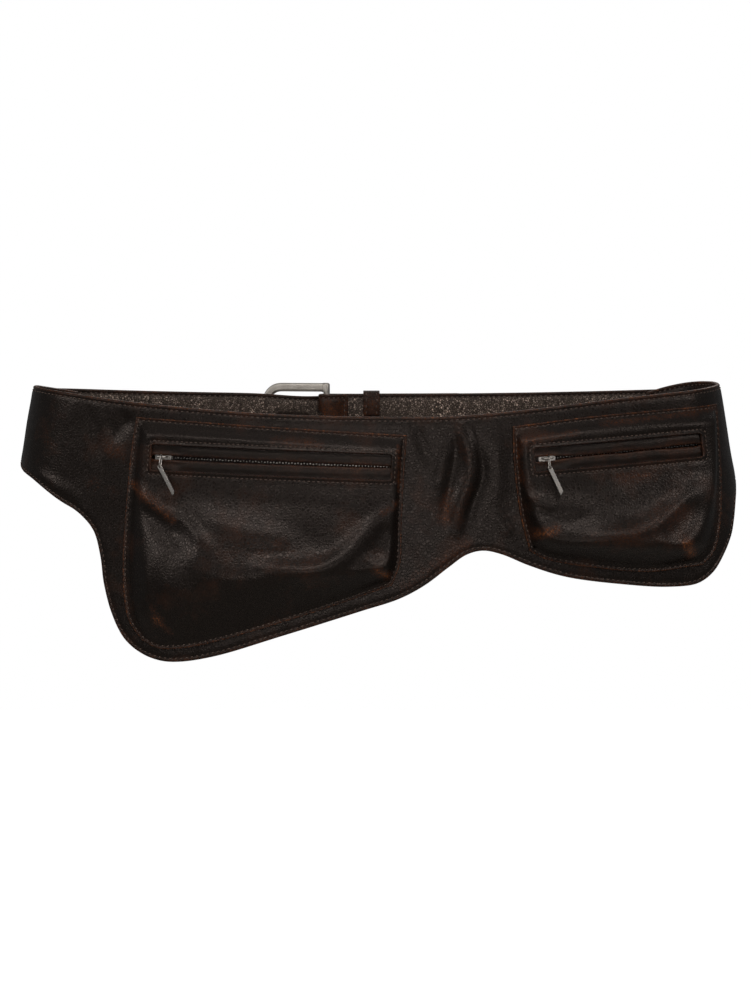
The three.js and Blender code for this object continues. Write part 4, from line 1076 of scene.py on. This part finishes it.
def buildChain(side, pocket):
    build = zipBuild
    line = pocket["zip"]
    last = line["end"] + build["endLap"]
    height = panelFace + build["tapeMiddle"]
    for level, way in (("upper", 1), ("lower", -1)):
        low = (build["wedgeEnd"], build["tapeEdge"])
        outline = straightOutline(low, (last, build["tapeHalf"]), build["tapeStep"]) * np.array([1, way])
        filled = fillShape(outline, [], build["tapeSpacing"], build["tapeRings"])
        flat, _, rim = filled
        places = zipPlaces(line, flat[:, 0], flat[:, 1])
        middle = overLoop(places, height)
        piece, _ = wallPiece(f"{side}_zip_tape_{level}", filled, middle, build["tapeThickness"],
                             0 * rim, 0 * rim, tapeCloth)
        if way > 0:
            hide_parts(f"{side}_zip_chain")
    teeth = []
    half = build["toothPitch"] / 2
    for way in (1, -1):
        stops = np.arange(build["wedgeEnd"], last - build["toothMargin"] - half, half / 2)
        stops += half if way > 0 else 0
        places = zipPlaces(line, stops, 0 * stops + way * build["toothOffset"])
        spots = overLoop(places, height)
        teeth.append((spots, overLoop(places, height + 1) - spots))
    row = rowPiece(f"{side}_zip_teeth", teeth, oneTooth, build["toothPitch"], 0, nickel, "bag")
    row.data.shade_flat()


def toothRings():
    half = np.array(zipBuild["toothSize"]) / 2
    turns = np.radians(np.arange(22.5, 360, 45))  # eight corners
    rings = []
    for share, thick in zipBuild["toothSections"]:
        rings.append(np.stack([0 * turns + share * half[0], half[1] * thick * np.cos(turns),
                               half[2] * thick * np.sin(turns)], axis=1))
    return rings


oneTooth = smallPiece("tooth", toothRings())
for side, pocket in pockets.items():
    buildWelts(side, pocket)
    buildChain(side, pocket)
print("zips made")


# A flat metal plate from outlines (first the outside, then holes), its edges rounded, between two heights
def plateMesh(name, outlines, low, high, bevel):
    curve = bpy.data.curves.new(name, "CURVE")
    curve.dimensions = "2D"
    curve.fill_mode = "BOTH"
    curve.extrude = ((high - low) / 2 - bevel) * mm
    curve.bevel_depth = bevel * mm
    curve.bevel_resolution = 3
    curve.offset = -bevel * mm
    for outline in outlines:
        spline = curve.splines.new("POLY")
        spline.points.add(len(outline) - 1)
        for spot, (x, y) in zip(spline.points, outline):
            spot.co = (x * mm, y * mm, 0, 1)
        spline.use_cyclic_u = True
    mesh = toMesh(linkObject(name, curve), name)
    mesh.transform(Matrix.Translation((0, 0, (low + high) / 2 * mm)))
    return mesh


# A round rod along points, each with its own radius
def rodMesh(name, points, radii, closed=False):
    curve = bpy.data.curves.new(name, "CURVE")
    curve.dimensions = "3D"
    curve.bevel_depth = mm
    curve.bevel_resolution = 4
    curve.use_fill_caps = True
    spline = curve.splines.new("POLY")
    spline.points.add(len(points) - 1)
    for spot, place, radius in zip(spline.points, points, radii):
        spot.co = (*(np.array(place) * mm), 1)
        spot.radius = radius
    spline.use_cyclic_u = closed
    return toMesh(linkObject(name, curve), name)


def placed(matrix):
    turned = matrix.copy()
    turned.translation *= mm
    return turned


def joinMeshes(name, meshes):
    joined = bpy.data.meshes.new(name)
    points = []
    faces = []
    for mesh in meshes:
        first = len(points)
        points.extend(vert.co[:] for vert in mesh.vertices)
        faces.extend([first + index for index in face.vertices] for face in mesh.polygons)
    joined.from_pydata(points, [], faces)
    return joined


castCrease = math.radians(35)  # sharper bends than this keep a crisp edge


def metalPiece(name, meshes, matrix, material, body, node):
    mesh = joinMeshes(name, meshes)
    mesh.transform(placed(matrix))
    mesh.materials.append(material)
    piece = addPiece(mesh, name, body)
    mesh.set_sharp_from_angle(angle=castCrease)
    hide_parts(node)


# Slider and puller, in the zip's own frame: x along it, y up across it and z out of the panel
slider = {
    "halfLength": 4.3,
    "halfWidth": 2.7,
    "noseHalfWidth": 1.9,
    "shoulder": 1,
    "tailCorner": 0.6,
    "noseCorner": 0.5,
    "lowerPlate": (0.3, 0.9),
    "upperPlate": (3, 3.6),
    "lowerBevel": 0.15,
    "upperBevel": 0.2,
    "wedgeLength": 0.8,
    "wedgeHalf": 1,
    "wedgeBevel": 0.1,
    "rootDepth": 0.2,  # how far the wedge and the bridge are set into the plates
    "bridgeHeight": 7,
    "bridgeHalf": 2.4,
    "bridgeRadius": 0.5,
    "bridgeBend": ((0, 0.9), (0.25, 0.3), (0.8, 0)),  # inward from its side, down from its top
    "ringRadius": 1.5,
    "ringReach": 3.2,  # between the middles of its two round ends
    "ringWire": 0.32,
    "ringDrop": 0.4,
    "bladeHalf": 1,
    "bladeThickness": 1,
    "bladeBevel": 0.2,
    "bladeTipSlant": 1.6,
    "bladeTipCorner": 0.3,
    "eyeOuter": 1.1,
    "eyeHole": 0.65,
    "lean": 16,
}


def buildSlider(side, pocket):
    size = slider
    line = pocket["zip"]
    zipFrame = loopFrame(line["u"], line["z"], panelFace, line["tilt"])
    long, wide, nose = size["halfLength"], size["halfWidth"], size["noseHalfWidth"]
    tailCorner, noseCorner = size["tailCorner"], size["noseCorner"]
    upperEdge = [(-long, wide - tailCorner), (-long + tailCorner, wide), (size["shoulder"], wide),
                 (long - noseCorner, nose), (long, nose - noseCorner)]
    plate = [(x, -y) for x, y in upperEdge] + upperEdge[::-1]
    front = -long + size["wedgeLength"]
    wedge = [(-long, -size["wedgeHalf"]), (front, -size["wedgeHalf"]), (front, size["wedgeHalf"]),
             (-long, size["wedgeHalf"])]
    low, high = size["lowerPlate"][0], size["upperPlate"][1]
    root = size["rootDepth"]
    top = size["bridgeHeight"]
    leg = [(size["bridgeHalf"], size["upperPlate"][0] + root)]
    leg += [(size["bridgeHalf"] - inward, top - down) for inward, down in size["bridgeBend"]]
    arch = [(-x, 0, z) for x, z in leg] + [(x, 0, z) for x, z in leg[::-1]]
    meshes = [
        plateMesh("plate", [plate], *size["lowerPlate"], size["lowerBevel"]),
        plateMesh("plate", [plate], *size["upperPlate"], size["upperBevel"]),
        plateMesh("wedge", [wedge], low + root, high - root, size["wedgeBevel"]),
        rodMesh("bridge", arch, [size["bridgeRadius"]] * len(arch)),
    ]
    metalPiece(side + "_slider_body", meshes, zipFrame, nickel, "bag", side + "_slider")
    puller = zipFrame @ Matrix.Translation((0, 0, top))
    puller = puller @ Matrix.Rotation(-math.radians(size["lean"]), 4, "X")
    wire = [(0, y - size["ringDrop"] - (size["ringReach"] if y < 0 else 0), z)
            for z, y in circle(size["ringRadius"])]
    ring = rodMesh("ring", wire, [size["ringWire"]] * len(wire), True)
    body = side + "_puller"
    metalPiece(side + "_pull_ring_wire", [ring], puller, nickel, body, side + "_pull_ring")
    length, half, eye = pocket["bladeLength"], size["bladeHalf"], size["eyeOuter"]
    corner = size["bladeTipCorner"]
    blade = [(half, -length + size["bladeTipSlant"]), (eye, 0)]
    blade += [(eye * math.cos(turn), eye * math.sin(turn)) for turn in np.linspace(0, math.pi, 13)[1:-1]]
    blade += [(-eye, 0), (-half, -length + corner), (-half + corner, -length)]
    thick = size["bladeThickness"] / 2
    eyeHole = circle(size["eyeHole"], count=20)
    tab = plateMesh("tab", [blade, eyeHole[::-1]], -thick, thick, size["bladeBevel"])
    hang = Matrix.Translation((0, -size["ringDrop"] - size["ringReach"] - size["ringRadius"], 0))
    hang = puller @ hang @ Matrix.Rotation(math.radians(pocket["bladeTilt"]), 4, "Z")
    hang = hang @ Matrix.Rotation(math.radians(pocket["bladeTwist"]), 4, "Y")
    metalPiece(side + "_pull_tab_blade", [tab], hang, nickel, body, side + "_pull_tab")


for side, pocket in pockets.items():
    buildSlider(side, pocket)
print("sliders made")

# Straps behind: the tail comes from the wearer's right, passes the buckle and runs on under the keeper
strap = {
    "thickness": 2.2,
    "width": 28,
    "topMiddle": -8.3,
    "topRise": 5.9,
    "riseReach": 186,
    "seamInset": 2,
    "spacing": 1.6,
    "edgeStep": 1.8,
    "routeStep": 1.0,
    "tipSteps": 24,
    "wrapSteps": 15,
    "rings": (0.06, 0.25, 0.6, 1.1, 1.6, 2.1, 2.8),
    "tailSeed": 41,
    "tailStart": 588,
    "tailTip": 345,
    "tailTipLength": 14,
    "tailRoute": ((345, 2.5), (435, 2.5), (440, 2.2), (446, 1.1), (451, 0.2), (454, 0), (588, 0)),
    "buckleSeed": 42,
    "buckleStart": 238,
    "barAt": 428.3,
    "farBarAt": 460.8,
    "wrapInner": 2.4,
    "returnRoute": ((3.5, -6.5), (6.5, -4.4), (9, -2.8), (11.5, -2.5)),
    "slotAt": 446,
    "slotLength": 16,
    "slotWidth": 3.2,
    "chapeSlotLength": 13,
    "chapeSlotWidth": 3.4,
    "holeSpacing": 25,
    "holeRadius": 1.7,
    "holeSteps": (-3, -2, -1, 1, 2),
    "edgeWear": 0.55,
    "edgeWearReach": 0.9,
    # how strongly its inner side is painted paler, as sheen
    "paintedSheen": 0.8,
    "tailDip": 1.6,  # the tail sags where it passes the buckle
    "tailDipAt": 438,
    "tailDipReach": 19,
    "returnWear": 0.65,
    "returnWearFrom": 4,
    "returnWearReach": 16,
}
strapLayer = panelFace + gap + strap["thickness"] / 2
wrapRadius = strap["wrapInner"] + strap["thickness"] / 2


def strapMiddle(u):
    rise = strap["topRise"] * (np.abs(loopLength / 2 - u) / strap["riseReach"]) ** 2
    return strap["topMiddle"] + rise - strap["width"] / 2


def tailSag(u):
    return -strap["tailDip"] * np.exp(-((u - strap["tailDipAt"]) / strap["tailDipReach"]) ** 2)


def routeStops(route):
    return np.concatenate([[0], np.cumsum(np.linalg.norm(np.diff(route[:, :2], axis=0), axis=1))])


# Route is (u, n, z) points down the strap's middle. Flat places are (distance along it, height off it).
def ribbonSurface(route, flat):
    along = routeStops(route)
    u, n, z = [np.interp(flat[:, 0], along, column) for column in route.T]
    return onLoop(u, z + flat[:, 1], n)


def buildStrap(name, node, route, outline, holes, seed, rubs):
    filled = fillShape(outline, holes, strap["spacing"], strap["rings"])
    flat, _, rim = filled
    fromSeam, along = nearestOn(outline, flat)
    middle = ribbonSurface(route, flat)
    relief = seamRelief(fromSeam - strap["seamInset"], along, seed)
    wear = strap["edgeWear"] * np.exp(-rim / strap["edgeWearReach"])
    wear = np.maximum(wear, rubbedPlaces(rubs, flat))
    piece, faceTrees = wallPiece(
        name, filled, middle, strap["thickness"], relief, wear, strapLeather, strap["paintedSheen"])
    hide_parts(node)
    sewn = evenSteps(insetPath(outline, strap["seamInset"]), stitch["lineStep"])
    spots = ribbonSurface(route, sewn)
    aside = np.array([strap["routeStep"] / 2, 0])
    near = ribbonSurface(route, sewn + aside) - ribbonSurface(route, sewn - aside)
    out = np.cross(near, np.array([0, 0, 1]))
    out /= np.linalg.norm(out, axis=1)[:, None]
    lines = []
    for tree, way in zip(faceTrees, (1, -1)):
        lines.append(sewnLine(tree, spots + way * out * strap["thickness"] / 2, way))
    sewnPiece(name.replace("leather", "stitching"), lines)


def slotOutline(middle, length, width):
    low = (middle - length / 2, -width / 2)
    high = (middle + length / 2, width / 2)
    corner = width * 0.45  # nearly a half circle at each end
    return closeLine(np.array(roundedOutline(low, high, corner, corner, steps=4)))


def buildTail():
    step = strap["routeStep"]
    u = np.arange(strap["tailTip"], strap["tailStart"] + step / 2, step)
    smooth = smoothPath(strap["tailRoute"], perSpan=8)
    n = strapLayer + np.interp(u, smooth[:, 0], smooth[:, 1])
    route = np.stack([u, n, strapMiddle(u) + tailSag(u)], axis=1)
    along = routeStops(route)
    length = along[-1]
    half = strap["width"] / 2
    tip = strap["tailTipLength"]
    turns = np.radians(np.linspace(90, 270, strap["tipSteps"] + 1))
    rounded = np.stack([tip + tip * np.cos(turns), half * np.sin(turns)], axis=1)
    edges = [((tip, -half), (length, -half)), ((length, -half), (length, half)),
             ((length, half), (tip, half)), rounded]
    outline = closedOutline(edges, strap["edgeStep"])
    holes = []
    for number in strap["holeSteps"]:
        middle = np.interp(strap["slotAt"] + number * strap["holeSpacing"], route[:, 0], along)
        holes.append(closeLine(np.array(circle(strap["holeRadius"], count=20)) + np.array([middle, 0])))
    slotMiddle = np.interp(strap["slotAt"], route[:, 0], along)
    slot = slotOutline(slotMiddle, strap["slotLength"], strap["slotWidth"])
    holes.append(slot - np.array([0, tailSag(strap["slotAt"])]))
    buildStrap("strap_tail_leather", "strap_tail", route, outline, holes, strap["tailSeed"], ())


def buildBuckleStrap():
    u = np.arange(strap["buckleStart"], strap["barAt"], strap["routeStep"])
    route = [(x, strapLayer) for x in u]
    for turn in np.radians(np.linspace(0, 180, strap["wrapSteps"] + 1)):
        drop = wrapRadius * (1 - math.cos(turn))
        route.append((strap["barAt"] + wrapRadius * math.sin(turn), strapLayer - drop))
    back = smoothPath(((0, -2 * wrapRadius),) + strap["returnRoute"], perSpan=6)[1:]
    route.extend((strap["barAt"] - x, strapLayer + n) for x, n in back)
    route = np.array(route)
    route = np.column_stack([route, strapMiddle(route[:, 0])])
    half = strap["width"] / 2
    length = routeStops(route)[-1]
    outline = straightOutline((0, -half), (length, half), strap["edgeStep"])
    bend = strap["barAt"] - strap["buckleStart"] + wrapRadius * math.pi / 2
    slot = slotOutline(bend, strap["chapeSlotLength"], strap["chapeSlotWidth"])
    rub = {"path": ((bend + strap["returnWearFrom"], 0), (length, 0)), "reach": strap["returnWearReach"],
           "amount": strap["returnWear"]}
    seed = strap["buckleSeed"]
    buildStrap("strap_buckle_leather", "strap_buckle_end", route, outline, [slot], seed, (rub,))


buildTail()
buildBuckleStrap()
print("straps made")

# Keeper: a leather loop round the strap and its tail, sewn down each side
keeper = {
    "at": 404.2,
    "length": 8.8,
    "thickness": 1.2,
    "corner": 1.5,
    "innerCorner": 0.5,
    "seamInset": 1.6,
    "bevel": 0.3,
    "lapDrop": 12.5,  # its end laps this far down over the inner side
    "lapThickness": 0.9,
    "lapCorner": 0.5,
    "lapBevel": 0.25,
    "lapTop": 0.4,  # below the keeper's upper edge
    "lapRoot": 0.1,
    "lapSeamInset": 1,
    "edgeWear": 0.6,
    "edgeWearReach": 0.5,
    "lapWearReach": 0.7,
    "crease": 40,
}


def buildKeeper():
    tailOut = strap["tailRoute"][0][1]
    low = -strap["thickness"] / 2 - gap
    high = tailOut + strap["thickness"] / 2 + gap
    half = strap["width"] / 2 + gap
    wall = keeper["thickness"]
    edge = keeper["length"] / 2
    corner, innerCorner = keeper["corner"], keeper["innerCorner"]
    outer = roundedOutline((low - wall, -half - wall), (high + wall, half + wall), corner, corner)
    inner = roundedOutline((low, -half), (high, half), innerCorner, innerCorner)
    band = plateMesh("band", [outer, inner[::-1]], -edge, edge, keeper["bevel"])
    # The outline's x turns outward, and the plate's thickness lies along the strap
    turn = Matrix(((0, 0, -1, 0), (0, 1, 0, 0), (1, 0, 0, 0), (0, 0, 0, 1)))
    place = loopFrame(keeper["at"], float(strapMiddle(keeper["at"])), strapLayer)
    band.transform(placed(place @ turn))
    lapLow = half + wall - keeper["lapDrop"]
    lapFace = low - wall - keeper["lapThickness"]
    lapHigh = half + wall - keeper["lapTop"]
    lapOutline = roundedOutline((-edge, lapLow), (edge, lapHigh), keeper["lapCorner"], keeper["lapCorner"])
    lap = plateMesh("lap", [lapOutline], lapFace, low - wall + keeper["lapRoot"], keeper["lapBevel"])
    lap.transform(placed(place))
    mesh = joinMeshes("strap_keeper_leather", [band, lap])
    mesh.materials.append(leather)
    local = np.array([(place.inverted() @ (vert.co / mm))[:] for vert in mesh.vertices])
    wear = keeper["edgeWear"] * np.exp(-(edge - np.abs(local[:, 0])) / keeper["edgeWearReach"])
    onLap = local[:, 2] < low - wall
    lapWear = np.exp(-np.abs(local[:, 1] - lapLow) / keeper["lapWearReach"])
    paintPoints(mesh, "wear", np.maximum(wear, np.where(onLap, lapWear, 0)))
    piece = addPiece(mesh, "strap_keeper_leather", "bag")
    mesh.set_sharp_from_angle(angle=math.radians(keeper["crease"]))
    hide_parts("strap_keeper")
    lines = []
    for face, way, bottom in ((high + wall, 1, -half), (lapFace, -1, lapLow + keeper["lapSeamInset"])):
        for column in (-1, 1):
            heights = np.arange(bottom, half + 0.1, stitch["lineStep"])
            flat = [(column * (edge - keeper["seamInset"]), y, face) for y in heights]
            spots = np.array([(place @ Vector(spot))[:] for spot in flat])
            facing = np.array([(place.to_3x3() @ Vector((0, 0, way)))[:]] * len(spots))
            lines.append((spots - facing * stitch["sunk"], facing))
    sewnPiece("strap_keeper_stitching", lines)


buildKeeper()

# Buckle: x runs from the strap's bar to the far bar, y up and z outward
buckle = {
    "barHalf": 1.7,
    "farBarWidth": 4.2,
    "thickness": 3,
    "bevel": 1.3,
    "lugRadius": 2.2,
    "lugOffset": 0.5,
    "lugRoot": ((-0.3, -0.4), (0, 0)),  # outward from the rail's inner edge, and change of radius
    "lugEnd": ((-0.7, 0), (-0.2, -0.3), (0.1, -0.9)),  # outward from its outer edge
    "rail": 4.6,
    "sideGap": 1.2,
    "tiltRoom": 0.5,
    "farCorner": 10,
    "barCorner": 1.5,
    "innerBarCorner": 0.6,
    "prongRadius": 1.1,
    "eyeRadius": 3.15,
    "eyeWire": 0.9,
    "prongRise": 0.85,  # share of its height that it has at mid-length
    "prongTaper": ((0, 0.85, 1), (1, 0.95, 0.75)),  # share of its length, share of its radius
    "prongTip": 3.4,
    "prongTipDrop": 0.4,
}


def buildBuckle():
    size = buckle
    middle = float(strapMiddle(strap["barAt"]))
    farOut = strapLayer + strap["thickness"] / 2 + gap + size["tiltRoom"] + size["thickness"] / 2
    bar = Vector(onLoop(np.array(strap["barAt"]), np.array(middle), strapLayer - wrapRadius))
    far = Vector(onLoop(np.array(strap["farBarAt"]), np.array(middle), farOut))
    along = (far - bar).normalized()
    up = Vector((0, 0, 1))
    turn = Matrix((along, up, along.cross(up))).transposed().to_4x4()
    place = Matrix.Translation(bar) @ turn
    span = strap["farBarAt"] - strap["barAt"]
    reach = span + size["farBarWidth"] / 2
    inside = strap["width"] / 2 + size["sideGap"]
    outside = inside + size["rail"]
    farCorner, farBar = size["farCorner"], size["farBarWidth"]
    outer = roundedOutline((-size["barHalf"], -outside), (reach, outside), size["barCorner"],
                           farCorner, steps=12)
    inner = roundedOutline((size["barHalf"], -inside), (reach - farBar, inside), size["innerBarCorner"],
                           farCorner - farBar, steps=12)
    half = size["thickness"] / 2
    cast = [plateMesh("frame", [outer, inner[::-1]], -half, half, size["bevel"])]
    lug = [(inside + out, size["lugRadius"] + wider) for out, wider in size["lugRoot"]]
    lug += [(outside + out, size["lugRadius"] + wider) for out, wider in size["lugEnd"]]
    for way in (-1, 1):
        shaft = [(size["lugOffset"], way * y, 0) for y, _ in lug]
        cast.append(rodMesh("lug", shaft, [radius for _, radius in lug]))
    metalPiece("buckle_frame_cast", cast, place, oxidisedZinc, "bag", "buckle_frame")
    over = half + gap + size["prongRadius"]
    path = smoothPath((
        (size["eyeRadius"], 0, size["eyeWire"] / 2),
        (span / 2, 0, over * size["prongRise"]),
        (span, 0, over),
        (span + size["prongTip"], 0, over - size["prongTipDrop"])), perSpan=12)
    radii = size["prongRadius"] * np.interp(np.linspace(0, 1, len(path)), *size["prongTaper"])
    wire = [(x, 0, z) for x, z in circle(size["eyeRadius"])]
    meshes = [rodMesh("prong", path, radii), rodMesh("eye", wire, [size["eyeWire"]] * len(wire), True)]
    metalPiece("buckle_prong_cast", meshes, place, oxidisedZinc, "bag", "buckle_prong")


buildBuckle()
print("buckle and keeper made")

# Stage: pale floor far below, soft light from above and in front, camera at the picture's angle
stage = {
    "floorHeight": -0.9,
    "floorReach": 5,
    "floorTone": "#b4b2ae",  # what it throws back at the bag; the camera sees it white
    "target": (-0.0006, 0, -0.06),
    "distance": 1.9,
    "elevation": 5,
    "lens": 131.3,
    "surround": 0.1,
    "warmth": "#fff5ee",
}
# Name, place, the point it is aimed at, width and height in metres, and power in watts
lights = (
    ("key", (0, -1.35, 1.45), (0, 0, -0.06), (2.2, 0.35), 10.5),
    ("fill", (0, -2.0, 0.02), (0, 0, -0.06), (1.8, 0.25), 4),
    ("leftStrip", (-1.7, -1.0, 0.8), (-0.1, 0, -0.06), (0.8, 0.4), 5),
    ("rightStrip", (1.7, -1.0, 0.8), (0.1, 0, -0.06), (0.8, 0.4), 4),
    ("overhead", (0, -0.2, 1.6), (0, 0, -0.05), (1.6, 0.9), 1),
    ("behind", (0.3, 1.6, 0.9), (0, 0, -0.05), (1.4, 0.7), 4),
)


def buildFloor():
    reach = stage["floorReach"]
    corners = [(x * reach, y * reach, stage["floorHeight"]) for x, y in ((-1, -1), (1, -1), (1, 1), (-1, 1))]
    mesh = bpy.data.meshes.new("floor")
    mesh.from_pydata(corners, [], [(0, 1, 2, 3)])
    material, tree, shader, _ = startMaterial("paleFloorPaper")
    setInputs(tree, shader, {
        "Base Color": toLinear(stage["floorTone"]), "Roughness": 0.9, "Emission Color": (1, 1, 1, 1),
        "Emission Strength": addNode(tree, "ShaderNodeLightPath").outputs["Is Camera Ray"]})
    mesh.materials.append(material)
    floor = linkObject("floor", mesh)


def buildLight():
    world = bpy.data.worlds.new("studio")
    world.use_nodes = True
    sky = world.node_tree
    sky.nodes.clear()
    seen = addNode(sky, "ShaderNodeLightPath").outputs["Is Camera Ray"]
    dim = addNode(sky, "ShaderNodeBackground", {}, {"Color": (1, 1, 1, 1), "Strength": stage["surround"]})
    white = addNode(sky, "ShaderNodeBackground", {}, {"Color": (1, 1, 1, 1), "Strength": 1.0})
    mixed = addNode(sky, "ShaderNodeMixShader", {}, {0: seen, 1: dim, 2: white})
    addNode(sky, "ShaderNodeOutputWorld", {}, {"Surface": mixed})
    bpy.context.scene.world = world
    for name, place, aim, size, power in lights:
        lamp = bpy.data.lights.new(name, "AREA")
        lamp.shape = "RECTANGLE"
        lamp.size, lamp.size_y = size
        lamp.energy = power
        lamp.color = toLinear(stage["warmth"])[:3]
        holder = linkObject(name, lamp)
        holder.location = place
        holder.rotation_euler = (Vector(aim) - Vector(place)).to_track_quat("-Z", "Y").to_euler()


def buildCamera():
    camera = bpy.data.cameras.new("camera")
    camera.sensor_width = 36
    camera.lens = stage["lens"]
    viewer = linkObject("camera", camera)
    tilt = math.radians(stage["elevation"])
    back = Vector((0, -math.cos(tilt), math.sin(tilt)))
    viewer.location = Vector(stage["target"]) + back * stage["distance"]
    viewer.rotation_euler = (-back).to_track_quat("-Z", "Y").to_euler()
    bpy.context.scene.camera = viewer
    bpy.context.scene.view_settings.view_transform = "Standard"


buildFloor()
buildLight()
buildCamera()
print("stage made")
